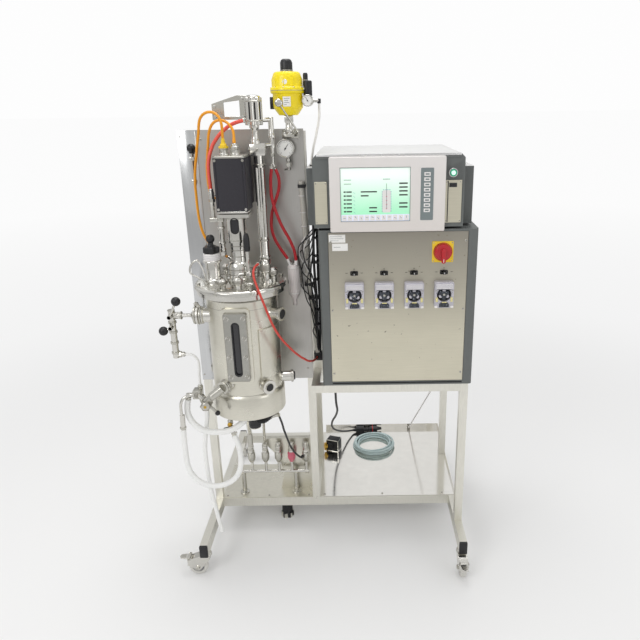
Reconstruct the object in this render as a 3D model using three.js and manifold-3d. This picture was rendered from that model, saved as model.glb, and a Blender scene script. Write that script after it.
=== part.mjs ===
// Bench bioreactor: a jacketed steel vessel with its drive and piping, and a control cabinet, on one trolley.
// Millimetres, +Z up. In the working frame Z = 0 is the floor, Y = 0 the cabinet's front face (+Y runs to the
// back) and X runs along the trolley. The finished group is moved so that the object's box, without its free
// cords, is centred on the origin.
import * as THREE from 'three';
import { mergeVertices } from 'three/addons/utils/BufferGeometryUtils.js';
import Module from 'manifold-3d';

const wasm = await Module();
wasm.setup();

// ---------------------------------------------------------------- driving dimensions

const GAP = 0.3; // between separate pieces that meet
const RUN = 0.5; // between pieces that turn or slide in each other
const WELD = 1; // how far welded pieces reach into each other
const FINE = 24; // facets of the vessel and its lid
const SIDES = 12; // facets of a middling round
const FEW = 6; // facets of a small round

// Trolley
const TUBE = 30; // square tube of the posts and rails
const FOOT_H = 50;
const CASTOR_H = 100; // floor to the underside of a foot
const RAIL_H = 40;
const FOOT_X = [-613, 390]; // middle of the left and the right foot
const FOOT_Y = [-140, 760]; // front and rear end of a foot
const POST_Y = 185; // middle of the front rail and of the two tall posts
const MIDDLE_POST_X = -195;
const POST_TOP = 1664;
const LEG_Y = 15; // middle of the right front leg
const REAR_POST_Y = 515;
const CROSS_Y = 415; // rail under the back edge of the left base plate
const REAR_RAIL_Y = 715;
const PAD_X = -335; // support foot
const PAD_Y = 252;
const SHEET = 2; // base sheets
const TRAY_LIP = 26;
const BRACKET_TOP = 400; // upright plate behind the valve manifold
const BRACKET_Y = 240;
const BRACKET_LEFT = -413;

// Castors
const WHEEL_R = 37.5;
const WHEEL_W = 24;
const TRAIL = 34; // swivel axis to axle
const AXLE_R = 5;
const CHEEK = 3;
const CASTOR_INSET = 35; // swivel axis from the end of its foot
const PEDAL_REACH = 38;
const PIN_R = 3;

// Lower cabinet
const CABINET_BASE = 759;
const LOWER_X = [-137, 416];
const LOWER_TOP = 1342;
const LOWER_DEPTH = 500;
const SHELL = 4;
const CHEEK_W = 34; // charcoal cheek beside the front plate
const PLATE_T = 3;
const PLATE_SET_BACK = 2; // front plate behind the shell's face
const SILL = 14; // dark gap under the front plate
const PUMP_X = 143; // middle of the row of pumps
const PUMP_PITCH = 105;
const PUMP_Z = LOWER_TOP - 230;
const PUMP_W = 68;
const PUMP_H = 94;
const PUMP_DEPTH = 26;
const ROTOR_R = 22;
const ROTOR_DEPTH = 16;
const SPINDLE_R = 5;
const SELECTOR_Z = LOWER_TOP - 153;
const SELECTOR_BORE = 8;
const SWITCH_X = 294;
const SWITCH_Z = LOWER_TOP - 80;
const SWITCH_PLATE = 74;
const SWITCH_BORE = 8;

// Upper cabinet
const UPPER_X = [-148, 360]; // front block
const UPPER_WIDE_X = [-173, 400]; // the wider box behind it
const UPPER_WIDE_Y = 60;
const UPPER_DEPTH = 480;
const SEAM = 8; // between the two cabinets
const UPPER_BASE = LOWER_TOP + SEAM;
const UPPER_TOP = UPPER_BASE + 243;
const UPPER_WIDE_TOP = UPPER_TOP - 48;
const CHAMFER = 14;
const BEZEL_X = [-92, 294];
const BEZEL_Z = [UPPER_BASE - 11, UPPER_TOP - 7];
const BEZEL_T = 20;
const BEZEL_OFF = 2; // bezel back to the block's face
const SCREEN_X = [-55, 176];
const SCREEN_Z = [BEZEL_Z[0] + 36, BEZEL_Z[1] - 34];
const SCREEN_T = 4;
const SCREEN_RECESS = 2;
const KEYS_X = [211, 254];
const KEYS_Z = [SCREEN_Z[0] + 2, SCREEN_Z[1] - 3];
const BUTTON_X = 321;
const BUTTON_Z = UPPER_TOP - 63;
const BUTTON_R = 11;

// Back panel and what it carries
const PANEL_X = [-628, -186];
const PANEL_Z = [718, 1672];
const PANEL_FRONT = 162;
const PANEL_T = 3;
const STRIP_W = 66; // raised polished strip along the left edge
const GAUGE_X = -246;
const GAUGE_Y = 126;
const GAUGE_Z = 1608;
const GAUGE_R = 31;
const CAPSULE_X = -238; // filter capsule
const CAPSULE_Y = 108;
const CAPSULE_R = 20;
const CAPSULE_Z = [1065, 1200];

// Vessel
const AXIS_X = -410;
const AXIS_Y = -15;
const JACKET_R = 124;
const BORE_R = 100;
const FLANGE_R = 152;
const FLANGE_Z = [1142, 1158];
const SKIRT_R = 130;
const SKIRT_Z = [693, 770];
const BOWL_Z = 800; // inside bottom of the vessel
const PAD_Z = [845, 1027]; // raised pad on the jacket
const LID_R = 158;
const LID_T = 17.7;
const LID_TOP = FLANGE_Z[1] + GAP + LID_T;
const SHAFT_R = 7;
const SHAFT_BORE_R = 12;
const SHAFT_TOP = 1424;
const SHAFT_BOTTOM = 818;
const IMPELLER_Z = [868, 990];
const IMPELLER_R = 42;

// Sight glass on the front of the jacket
const SIGHT_X = -415;
const SIGHT_W = 78;
const SIGHT_Z = [850, 1097];
const SLOT_W = 24;
const SLOT_Z = [872, 1062];
const BOSS_Y = -145;
const SIGHT_T = 8;
const GLASS_T = 6;
const GLASS_EDGE = 6; // glass beyond the slot on every side

// Drive
const COLUMN_LOW_R = 40;
const COLUMN_LOW_TOP = 1240;
const COLUMN_R = 26;
const COLUMN_TOP = 1312;
const COUPLING_R = 34;
const COUPLING_BORE_R = 25;
const COUPLING_TOP = 1412;
const COUPLING_FLANGE = 104;
const MOTOR_W = 100;
const MOTOR_Z = [1414, 1598];
const CONNECTOR_Y = -7;
const CONNECTOR_X = [-434, -398];
const CONNECTOR_H = 40;

// Exhaust line
const COOLER_X = -330;
const COOLER_Y = 50;
const COOLER_R = 14;
const COOLER_TOP = 1592;
const EXHAUST_R = 28;
const EXHAUST_Z = [1688, 1782];

// Valve actuator
const ACTUATOR_X = -229;
const ACTUATOR_Y = 118;
const ACTUATOR_R = 50;
const ACTUATOR_Z = [1717, 1854];
const ACTUATOR_CAP_TOP = 1894;

// Left port on the lid and the inlet pipe beside the vessel
const PORT_X = -500;
const PORT_Y = -30;
const PORT_R = 25;
const PORT_TOP = 1277;
const INLET_Y = -60;
const INLET_Z = 1064;
const INLET_PIPE_X = -652;
const INLET_LOW_Z = 918;
const KNOB_R = 16;

// Valve manifold
const MANIFOLD_Y = 214;
const MANIFOLD_Z = 255;
const MANIFOLD_X = [-525, -229];
const MANIFOLD_VALVES = [-470, -410, -354, -298, -236];

// Coil of hose on the tray
const COIL_X = 64;
const COIL_Y = 585;
const COIL_R = 87; // middle of the turns
const COIL_D = 11;

// ---------------------------------------------------------------- geometry helpers

/** A closed solid from a three.js geometry, snapped to a micrometre, with its faces pointing out. */
function toSolid(geometry) {
  const bare = geometry.clone();
  bare.deleteAttribute('normal');
  bare.deleteAttribute('uv');
  const snapped = bare.getAttribute('position').array.map((value) => Math.round(value * 1000) / 1000);
  bare.setAttribute('position', new THREE.BufferAttribute(snapped, 3));
  const merged = mergeVertices(bare, 1e-4);
  const at = merged.getAttribute('position');
  const corner = (i) => new THREE.Vector3().fromBufferAttribute(at, i);
  const faces = [];
  let volume = 0;
  for (let i = 0; i < merged.index.count; i += 3) {
    const [a, b, c] = [0, 1, 2].map((k) => merged.index.getX(i + k));
    if (a === b || b === c || c === a) continue;
    faces.push([a, b, c]);
    volume += corner(a).dot(corner(b).cross(corner(c)));
  }
  const triVerts = Uint32Array.from(faces.flatMap(([a, b, c]) => (volume < 0 ? [a, c, b] : [a, b, c])));
  return new wasm.Manifold(new wasm.Mesh({ numProp: 3, vertProperties: at.array, triVerts }));
}

function toGeometry(solid) {
  const mesh = solid.getMesh();
  const geometry = new THREE.BufferGeometry();
  geometry.setAttribute('position', new THREE.BufferAttribute(new Float32Array(mesh.vertProperties), 3));
  geometry.setIndex(new THREE.BufferAttribute(new Uint32Array(mesh.triVerts), 1));
  return geometry;
}

const clean = (geometry) => toGeometry(toSolid(geometry));
const join = (...pieces) => toGeometry(pieces.map(toSolid).reduce((all, piece) => all.add(piece)));
const cut = (body, ...tools) => (
  toGeometry(tools.map(toSolid).reduce((rest, tool) => rest.subtract(tool), toSolid(body))));
const common = (body, tool) => toGeometry(toSolid(body).intersect(toSolid(tool)));

const around = (middle, size) => [middle - size / 2, middle + size / 2];
const degrees = (angle) => (angle * Math.PI) / 180;
const countTo = (n) => Array.from({ length: n }, (_, i) => i);

/** A box from its three spans. */
function box([x0, x1], [y0, y1], [z0, z1]) {
  const geometry = new THREE.BoxGeometry(x1 - x0, y1 - y0, z1 - z0);
  return geometry.translate((x0 + x1) / 2, (y0 + y1) / 2, (z0 + z1) / 2);
}

/** A round bar between two points; a second radius tapers it. */
function rod(from, to, radius, sides = FEW, endRadius = radius) {
  const start = new THREE.Vector3(...from);
  const end = new THREE.Vector3(...to);
  const run = end.clone().sub(start);
  const geometry = new THREE.CylinderGeometry(endRadius, radius, run.length(), sides);
  const up = new THREE.Vector3(0, 1, 0);
  geometry.applyQuaternion(new THREE.Quaternion().setFromUnitVectors(up, run.normalize()));
  return geometry.translate(...start.add(end).multiplyScalar(0.5).toArray());
}

const upright = (x, y, [z0, z1], radius, sides = FEW) => rod([x, y, z0], [x, y, z1], radius, sides);

/** A solid turned about the vertical through (x, y), from its [radius, height] outline. */
function turned(x, y, outline, sides = SIDES) {
  const points = outline.map(([r, z]) => new THREE.Vector2(r, z));
  return new THREE.LatheGeometry(points, sides).rotateX(Math.PI / 2).translate(x, y, 0);
}

/** The same, turned about an axis that runs to the front through (x, y, z). */
function turnedToFront(x, y, z, outline, sides = SIDES) {
  const points = outline.map(([r, h]) => new THREE.Vector2(r, h));
  return new THREE.LatheGeometry(points, sides).rotateX(Math.PI).translate(x, y, z);
}

function ball(x, y, z, radius, sides = 12) {
  return new THREE.SphereGeometry(radius, sides, sides / 2 + 1).translate(x, y, z);
}

/** A flat outline in X and Z, thick in Y from y0 to y1. */
function plateXZ(shape, [y0, y1], curveSegments = 3) {
  const geometry = new THREE.ExtrudeGeometry(shape, { depth: y1 - y0, bevelEnabled: false, curveSegments });
  return geometry.rotateX(Math.PI / 2).translate(0, y1, 0);
}

/** A closed outline through straight corners. */
function outlineOf(points, Kind = THREE.Shape) {
  const shape = new Kind();
  shape.moveTo(...points[0]);
  points.slice(1).forEach((point) => shape.lineTo(...point));
  shape.closePath();
  return shape;
}

/** A rectangle with round corners. */
function roundedShape([u0, u1], [v0, v1], radius) {
  const shape = new THREE.Shape();
  shape.moveTo(u0 + radius, v0);
  shape.lineTo(u1 - radius, v0);
  shape.absarc(u1 - radius, v0 + radius, radius, -Math.PI / 2, 0);
  shape.lineTo(u1, v1 - radius);
  shape.absarc(u1 - radius, v1 - radius, radius, 0, Math.PI / 2);
  shape.lineTo(u0 + radius, v1);
  shape.absarc(u0 + radius, v1 - radius, radius, Math.PI / 2, Math.PI);
  shape.lineTo(u0, v0 + radius);
  shape.absarc(u0 + radius, v0 + radius, radius, Math.PI, 1.5 * Math.PI);
  return shape;
}

const roundedPlate = (xs, zs, ys, radius, segments = 2) => (
  plateXZ(roundedShape(xs, zs, radius), ys, segments));

/** A round outline with lobes. */
function lobedShape(lobes, outer, inner) {
  return outlineOf(countTo(4 * lobes).map((i) => {
    const radius = i % 4 < 2 ? outer : inner;
    const angle = (2 * Math.PI * (i + 0.5)) / (4 * lobes);
    return [radius * Math.cos(angle), radius * Math.sin(angle)];
  }));
}

const curveThrough = (points) => (
  new THREE.CatmullRomCurve3(points.map((point) => new THREE.Vector3(...point)), false, 'centripetal'));

/** A round tube along a smooth curve through the points. */
function tube(points, radius, steps, sides = 8) {
  const path = curveThrough(points);
  const corners = countTo(sides).map((i) => {
    const angle = (2 * Math.PI * i) / sides;
    return [radius * Math.cos(angle), radius * Math.sin(angle)];
  });
  const options = { steps: steps ?? stepsAlong(path, radius), bevelEnabled: false, extrudePath: path };
  return clean(new THREE.ExtrudeGeometry(outlineOf(corners), options));
}

/** A step every three diameters, eight at least. */
function stepsAlong(path, radius) {
  return Math.max(8, Math.min(80, Math.round(path.getLength() / (6 * radius))));
}

/** The round end of a fitting, in line with a free cord's start (0) or end (1) and a gap away from it. */
function spigot(cord, end, length, radius, sides = FEW) {
  const curve = curveThrough(CORDS[cord].route);
  const away = curve.getTangent(end).multiplyScalar(end === 0 ? -1 : 1);
  const at = (distance) => curve.getPoint(end).addScaledVector(away, distance).toArray();
  return rod(at(GAP), at(length), radius, sides);
}

// ---------------------------------------------------------------- the group and its finishes

const bench = new THREE.Group();

const STEEL = { color: 0xc9c5b8, roughness: 0.35, metalness: 1 };
const SATIN = { color: 0xb5b5b3, roughness: 0.45, metalness: 1 };
const POLISHED = { color: 0xd8d8d6, roughness: 0.12, metalness: 1 };
const CHARCOAL = { color: 0x555857, roughness: 0.6, metalness: 0.1 };
const BRUSHED = { color: 0xa9a38f, roughness: 0.4, metalness: 1 };
const BLACK = { color: 0x1b1b1d, roughness: 0.5, metalness: 0 };
const WHITE = { color: 0xe9e7e2, roughness: 0.45, metalness: 0 };
const WHEEL = { color: 0xd9d8d2, roughness: 0.6, metalness: 0 };
const YELLOW = { color: 0xf6da12, roughness: 0.45, metalness: 0 };
const RED = { color: 0xc4202e, roughness: 0.4, metalness: 0 };
const GREEN_LIT = { color: 0x2fae7d, roughness: 0.35, metalness: 0 };
const SCREEN = { color: 0xbdf2cf, roughness: 0.2, metalness: 0 };
const GLASS = { color: 0x2a2c2e, roughness: 0.1, metalness: 0, transparent: true, opacity: 0.5 };
const MOTOR = { color: 0x37333a, roughness: 0.55, metalness: 0.2 };
const SILICONE = { color: 0xf0f0ee, roughness: 0.4, metalness: 0 };
const ORANGE = { color: 0xf0a020, roughness: 0.5, metalness: 0 };
const CORAL = { color: 0xf06050, roughness: 0.45, metalness: 0 };
const DARK_RED = { color: 0xb8202a, roughness: 0.45, metalness: 0 };
const TEAL = { color: 0xb9cccb, roughness: 0.5, metalness: 0 };

function add(name, geometry, finish, parent = bench) {
  const mesh = new THREE.Mesh(geometry, new THREE.MeshStandardMaterial(finish));
  mesh.name = name;
  parent.add(mesh);
}

// ---------------------------------------------------------------- trolley

const DECK_Z = CASTOR_H + FOOT_H; // top of the feet and bottom rails
const SHEET_Z = [DECK_Z + GAP, DECK_Z + GAP + SHEET];
const SUPPORT_Z = [CABINET_BASE - GAP - TUBE, CABINET_BASE - GAP]; // rails that carry the cabinet
const POST_FACE = POST_Y - TUBE / 2;

/** Lobed rubber pad on a stem, screwed up into the front rail and standing on the floor. */
function supportPad() {
  const padH = 22;
  const pad = new THREE.ExtrudeGeometry(lobedShape(6, 28, 23), { depth: padH, bevelEnabled: false });
  const arm = box(around(PAD_X, 24), [POST_Y, PAD_Y + 10], [DECK_Z - 12, DECK_Z]);
  const stem = upright(PAD_X, PAD_Y, [padH - WELD, DECK_Z - 10], 9);
  const hub = upright(PAD_X, PAD_Y, [DECK_Z - 44, DECK_Z - 10], 18, 6);
  return join(pad.translate(PAD_X, PAD_Y, 0), stem, hub, arm);
}

function trolleyFrame() {
  const leftBay = [FOOT_X[0], MIDDLE_POST_X];
  const cabinetX = [MIDDLE_POST_X + TUBE / 2 - WELD, FOOT_X[1] + TUBE / 2];
  const rail = (xs, y) => box(xs, around(y, TUBE), [DECK_Z - RAIL_H, DECK_Z]);
  const post = (x, y, top) => box(around(x, TUBE), around(y, TUBE), [DECK_Z - WELD, top]);
  const sideRail = (x) => box(around(x, TUBE), [LEG_Y - TUBE / 2, REAR_POST_Y + TUBE / 2], SUPPORT_Z);
  const crossBar = (z) => box(leftBay, around(POST_Y, TUBE - 2 * WELD), around(z, TUBE));
  const ductPlate = box([MIDDLE_POST_X + 11, LOWER_X[0] - 6], [POST_FACE - 4, POST_FACE + 2], [700, 800]);
  return join(
    ...FOOT_X.map((x) => box(around(x, TUBE), FOOT_Y, [CASTOR_H, DECK_Z])),
    rail(FOOT_X, POST_Y),
    rail(FOOT_X, REAR_RAIL_Y),
    rail(leftBay, CROSS_Y),
    box(around(MIDDLE_POST_X, TUBE), [POST_Y, REAR_RAIL_Y], [DECK_Z - RAIL_H, DECK_Z]),
    post(FOOT_X[0], POST_Y, POST_TOP),
    post(MIDDLE_POST_X, POST_Y, POST_TOP),
    post(MIDDLE_POST_X, REAR_POST_Y, SUPPORT_Z[1]),
    post(FOOT_X[1], LEG_Y, SUPPORT_Z[1]),
    post(FOOT_X[1], REAR_POST_Y, SUPPORT_Z[1]),
    box(cabinetX, around(LEG_Y, TUBE), SUPPORT_Z),
    box(cabinetX, around(REAR_POST_Y, TUBE), SUPPORT_Z),
    sideRail(MIDDLE_POST_X + TUBE - WELD),
    sideRail(FOOT_X[1]),
    crossBar(PANEL_Z[0] + 40),
    crossBar(FLANGE_Z[0] + 60),
    crossBar(PANEL_Z[1] - 50),
    ductPlate,
    supportPad(),
  );
}

/** Power supply block with its fitting, which stands on the tray. */
function supplyBlock() {
  const [x, y] = [-132, 560];
  const floor = SHEET_Z[1] - WELD;
  const block = box(around(0, 62), around(0, 46), [floor, floor + 60]).rotateZ(degrees(-20));
  return join(
    block.translate(x, y, 0),
    rod([x - 24, y - 14, floor + 26], [x - 45, y - 22, floor + 26], 9, 6),
    upright(x - 40, y - 20, [floor + 10, floor + 46], 6),
  );
}

/** Sheet over the bottom rails right of the middle post, lipped at the back and the right. */
function baseTray() {
  const x = [MIDDLE_POST_X + TUBE / 2 + GAP, FOOT_X[1] + TUBE / 2 - WELD];
  const y = [POST_FACE + SHEET, FOOT_Y[1]];
  const sheet = join(
    box(x, y, SHEET_Z),
    box(x, [y[1] - SHEET, y[1]], [SHEET_Z[0], SHEET_Z[0] + TRAY_LIP]),
    box([x[1] - SHEET, x[1]], y, [SHEET_Z[0], SHEET_Z[0] + TRAY_LIP * 0.7]),
    supplyBlock(),
  );
  const notch = TUBE + 2 * GAP + 2 * WELD;
  const height = [DECK_Z, DECK_Z + TRAY_LIP + 2];
  return cut(sheet, box(around(FOOT_X[1], notch), around(REAR_POST_Y, notch), height));
}

/** Bar with five valves on two legs, and the two pipes that come down to it from the vessel. */
function valveManifold() {
  const y = MANIFOLD_Y;
  const floor = SHEET_Z[1] - WELD;
  const top = (i) => (i === 0 ? 446 : 392);
  const valve = (x, i) => turned(x, y, [
    [0, MANIFOLD_Z], [6, MANIFOLD_Z], [6, 306], [16, 322], [16, 346], [11, 352], [11, top(i)], [0, top(i)],
  ], 6);
  const pipe = (x, drainX, drainY, z, radius) => join(
    upright(drainX, drainY, [650, SKIRT_Z[0] - 2], radius),
    rod([drainX, drainY, 655], [x, y, z], radius),
  );
  const leg = (x) => join(upright(x, y, [floor, MANIFOLD_Z], 9), upright(x, y, [floor, floor + 5], 20));
  return join(
    rod([MANIFOLD_X[0], y, MANIFOLD_Z], [MANIFOLD_X[1], y, MANIFOLD_Z], 7),
    rod([MANIFOLD_X[1] - 12, y, MANIFOLD_Z], [MANIFOLD_X[1] + 2, y, MANIFOLD_Z], 11, 6),
    ...MANIFOLD_VALVES.map(valve),
    pipe(MANIFOLD_VALVES[0], -446, 62, 440, 9),
    pipe(MANIFOLD_VALVES[1], -376, 40, 394, 5),
    spigot('black_lead', 1, 28, 6),
    leg(MANIFOLD_X[0] + 15),
    leg(MANIFOLD_VALVES[3] + 14),
  );
}

/** Sheet under the vessel, with the upright plate and the valve manifold in front of it. */
function basePlate() {
  const x = [FOOT_X[0] + TUBE / 2 + GAP, MIDDLE_POST_X - TUBE / 2 - GAP];
  const low = SHEET_Z[1] - WELD;
  const bracket = new THREE.Shape();
  bracket.moveTo(BRACKET_LEFT + 60, low);
  bracket.lineTo(x[1], low);
  bracket.lineTo(x[1], BRACKET_TOP);
  bracket.lineTo(BRACKET_LEFT + 24, BRACKET_TOP);
  bracket.quadraticCurveTo(BRACKET_LEFT, BRACKET_TOP, BRACKET_LEFT, BRACKET_TOP - 24);
  bracket.quadraticCurveTo(BRACKET_LEFT + 110, BRACKET_TOP - 120, BRACKET_LEFT + 60, low);
  return join(
    box(x, [POST_FACE + SHEET, CROSS_Y + TUBE / 2], SHEET_Z),
    plateXZ(bracket, [BRACKET_Y, BRACKET_Y + SHEET]),
    valveManifold(),
  );
}

/** Dial gauge on its stem, with the small valve under it. */
function pressureGauge() {
  const [x, y, z] = [GAUGE_X, GAUGE_Y, GAUGE_Z];
  return join(
    turnedToFront(x, y, z, [
      [0, -14], [GAUGE_R, -14], [GAUGE_R, 14], [GAUGE_R - 3, 14], [GAUGE_R - 3, 11], [0, 11]], 16),
    upright(x + 8, y + 4, [z - 74, z - 24], 6),
    box(around(x + 8, 20), around(y + 4, 16), [z - 64, z - 48]),
    rod([x + 8, y + 4, z - 68], [x - 8, y - 10, z - 72], 3),
    rod([x, y + 10, z], [x, PANEL_FRONT + WELD, z], 9),
  );
}

/** Capsule filter with two hose barbs on top and its clip to the panel. */
function filterCapsule() {
  const [x, y] = [CAPSULE_X, CAPSULE_Y];
  const [z0, z1] = CAPSULE_Z;
  const r = CAPSULE_R;
  return join(
    turned(x, y, [[0, z0 - 22], [7, z0 - 22], [7, z0], [r, z0 + 24], [r, z1 - 8], [r - 6, z1], [0, z1]], 10),
    spigot('red_hose_1', 1, 20, 6),
    spigot('red_hose_2', 1, 30, 6),
    box(around(x, 2 * r + 8), [y - 4, PANEL_FRONT + WELD], around((z0 + z1) / 2, 14)),
  );
}

function backPanel() {
  const inner = ([low, high]) => [low + PANEL_T, high - PANEL_T];
  const behind = [PANEL_FRONT + PANEL_T, POST_FACE];
  const blank = box(PANEL_X, [PANEL_FRONT, POST_FACE - GAP], PANEL_Z);
  const pan = cut(blank, box(inner(PANEL_X), behind, inner(PANEL_Z)));
  const handleX = PANEL_X[0] + STRIP_W - 18;
  const handleY = PANEL_FRONT - 16;
  const handleZ = [1486, 1600];
  const clip = (z) => box(around(handleX, 10), [handleY, PANEL_FRONT], around(z, 10));
  return join(
    pan,
    box([PANEL_X[0], PANEL_X[0] + STRIP_W], [PANEL_FRONT - 2, PANEL_FRONT + WELD], PANEL_Z),
    upright(handleX, handleY, handleZ, 5),
    ball(handleX, handleY, handleZ[1] + 12, 15, 10),
    clip(handleZ[0] + 12),
    clip(handleZ[1] - 24),
    spigot('orange_cable_2', 1, PANEL_FRONT + WELD - 145, 8),
    pressureGauge(),
    filterCapsule(),
  );
}

function trolley() {
  add('trolley_frame', trolleyFrame(), STEEL);
  add('base_tray', baseTray(), POLISHED);
  add('base_plate', basePlate(), SATIN);
  add('back_panel', backPanel(), SATIN);
}

// ---------------------------------------------------------------- castors

const CASTOR_TOP = CASTOR_H - GAP;
const WELL_W = WHEEL_W + 5; // space for the wheel between the cheeks
const FORK_W = WELL_W + 2 * CHEEK;
const PEDAL_X = -TRAIL - 33;
const PEDAL_Z = 78;

/** Hooded fork: it swivels about the vertical through the origin, and the wheel trails towards -X. */
function castorFork(withPedal) {
  const hood = new THREE.Shape();
  hood.moveTo(15, CASTOR_TOP - 10);
  hood.lineTo(15, CASTOR_TOP - 26);
  hood.lineTo(-TRAIL + 12, WHEEL_R - 6);
  hood.absarc(-TRAIL, WHEEL_R, 13, -0.5, Math.PI + 0.5, true);
  hood.lineTo(-TRAIL - 41, WHEEL_R + 12);
  hood.quadraticCurveTo(-TRAIL - 36, CASTOR_TOP - 14, -16, CASTOR_TOP - 8);
  const across = (x, z, half, radius, sides) => rod([x, -half, z], [x, half, z], radius, sides);
  const well = across(-TRAIL, WHEEL_R, WELL_W / 2, WHEEL_R + 4, 14);
  const open = box([-TRAIL - 60, 30], around(0, WELL_W), [0, WHEEL_R]);
  const fork = join(
    cut(plateXZ(hood, around(0, FORK_W), 2), well, open),
    upright(0, 0, [CASTOR_TOP - 14, CASTOR_TOP], 19, 8),
    across(-TRAIL, WHEEL_R, FORK_W / 2 + 2, AXLE_R),
  );
  if (!withPedal) return fork;
  const lug = (side) => box(
    around(PEDAL_X, 12),
    around(side * (FORK_W / 2 - CHEEK / 2), CHEEK),
    [WHEEL_R + 12, PEDAL_Z + 6],
  );
  return cut(join(fork, lug(-1), lug(1)), across(PEDAL_X, PEDAL_Z, FORK_W, PIN_R + RUN));
}

function castorWheel() {
  const half = WHEEL_W / 2;
  const bore = AXLE_R + RUN;
  const outline = [[bore, -half], [WHEEL_R - 9, -half], [WHEEL_R, -half + 5], [WHEEL_R, half - 5],
    [WHEEL_R - 9, half], [bore, half], [bore, -half]];
  return clean(turnedToFront(-TRAIL, 0, WHEEL_R, outline, 18));
}

function brakePedal() {
  const half = WELL_W / 2 - RUN;
  const tip = PEDAL_X - PEDAL_REACH;
  const shoulder = PEDAL_X - PEDAL_REACH * 0.55;
  const leaf = new THREE.Shape();
  leaf.moveTo(PEDAL_X, -half);
  leaf.lineTo(shoulder, -half);
  leaf.quadraticCurveTo(tip, -half, tip, 0);
  leaf.quadraticCurveTo(tip, half, shoulder, half);
  leaf.lineTo(PEDAL_X, half);
  const plate = new THREE.ExtrudeGeometry(leaf, { depth: 4, bevelEnabled: false, curveSegments: 2 });
  const across = (reach, radius) => rod([PEDAL_X, -reach, PEDAL_Z], [PEDAL_X, reach, PEDAL_Z], radius);
  return join(plate.translate(0, 0, PEDAL_Z - 2), across(half, 6), across(FORK_W / 2, PIN_R));
}

function castors() {
  const [front, rear] = [FOOT_Y[0] + CASTOR_INSET, FOOT_Y[1] - CASTOR_INSET];
  const corners = [
    ['front_left', FOOT_X[0], front, 0, true],
    ['front_right', FOOT_X[1], front, 90, true],
    ['rear_left', FOOT_X[0], rear, -90, false],
    ['rear_right', FOOT_X[1], rear, -90, false],
  ];
  for (const [name, x, y, turn, withPedal] of corners) {
    const corner = new THREE.Group();
    corner.position.set(x, y, 0);
    corner.rotation.z = degrees(turn);
    bench.add(corner);
    add(`castor_fork_${name}`, castorFork(withPedal), STEEL, corner);
    add(`castor_wheel_${name}`, castorWheel(), WHEEL, corner);
    if (withPedal) add(`brake_pedal_${name}`, brakePedal(), STEEL, corner);
  }
}

// ---------------------------------------------------------------- lower cabinet

const PLATE_X = [LOWER_X[0] + CHEEK_W, LOWER_X[1] - CHEEK_W];
const PLATE_Z = [CABINET_BASE + SILL, LOWER_TOP - 8];
const PLATE_Y = [PLATE_SET_BACK, PLATE_SET_BACK + PLATE_T];
const PUMPS = [-1.5, -0.5, 0.5, 1.5].map((step) => PUMP_X + step * PUMP_PITCH);
const ROTOR_Z = PUMP_Z + 1;
const ROTOR_BACK = PLATE_Y[0] - 4;

/** Folded housing, open where the front plate sits and where the cables leave it at the back. */
function lowerShell() {
  const [z0, z1] = [CABINET_BASE, LOWER_TOP];
  const mouth = PLATE_Y[1] + GAP;
  const outline = roundedShape(LOWER_X, [0, LOWER_DEPTH], 9);
  const outer = new THREE.ExtrudeGeometry(outline, { depth: z1 - z0, bevelEnabled: false, curveSegments: 2 });
  outer.translate(0, 0, z0);
  const inside = box(
    [LOWER_X[0] + SHELL, LOWER_X[1] - SHELL],
    [mouth + SHELL, LOWER_DEPTH - SHELL],
    [z0 + SHELL, z1 - SHELL],
  );
  const front = -1;
  const grown = ([low, high]) => [low - GAP, high + GAP];
  const seat = box(grown(PLATE_X), [front, mouth], grown(PLATE_Z));
  const ledge = 8;
  const opening = box(
    [PLATE_X[0] + ledge, PLATE_X[1] - ledge],
    [front, mouth + SHELL + 1],
    [PLATE_Z[0] + ledge, PLATE_Z[1] - ledge],
  );
  const sillGap = box([PLATE_X[0] + 2, PLATE_X[1] - 2], [front, 8], [z0 + 5, PLATE_Z[0] - 3]);
  const cableHole = box([40, 160], [LOWER_DEPTH - 10, LOWER_DEPTH + 1], [z0 + 60, z0 + 110]);
  const gland = spigot('tray_lead', 0, 10, 8);
  return join(cut(outer, inside, seat, opening, sillGap, cableHole), gland);
}

/** One pump head: frame, flip strip along the top, lower block and the two tube clips. */
function pumpHead(x) {
  const front = PLATE_Y[0] - PUMP_DEPTH;
  const behind = PLATE_Y[0] + WELD;
  const [low, high] = around(PUMP_Z, PUMP_H);
  const clipX = PUMP_W / 2 - 8;
  const clip = (side) => box(around(x + side * clipX, 7), [front - 4, behind], around(PUMP_Z - 16, 15));
  return join(
    roundedPlate(around(x, PUMP_W), [low, high], [front, behind], 5, 1),
    box(around(x, PUMP_W - 2), [front - 7, behind], [high - 24, high - 3]),
    box(around(x, PUMP_W * 0.5), [front - 5, behind], [low + 4, low + 20]),
    clip(-1),
    clip(1),
  );
}

/** Yellow plate behind the main switch. */
function switchPlate() {
  const y = [PLATE_Y[0] - 3, PLATE_Y[1]];
  return roundedPlate(around(SWITCH_X, SWITCH_PLATE), around(SWITCH_Z, SWITCH_PLATE), y, 3, 1);
}

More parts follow.
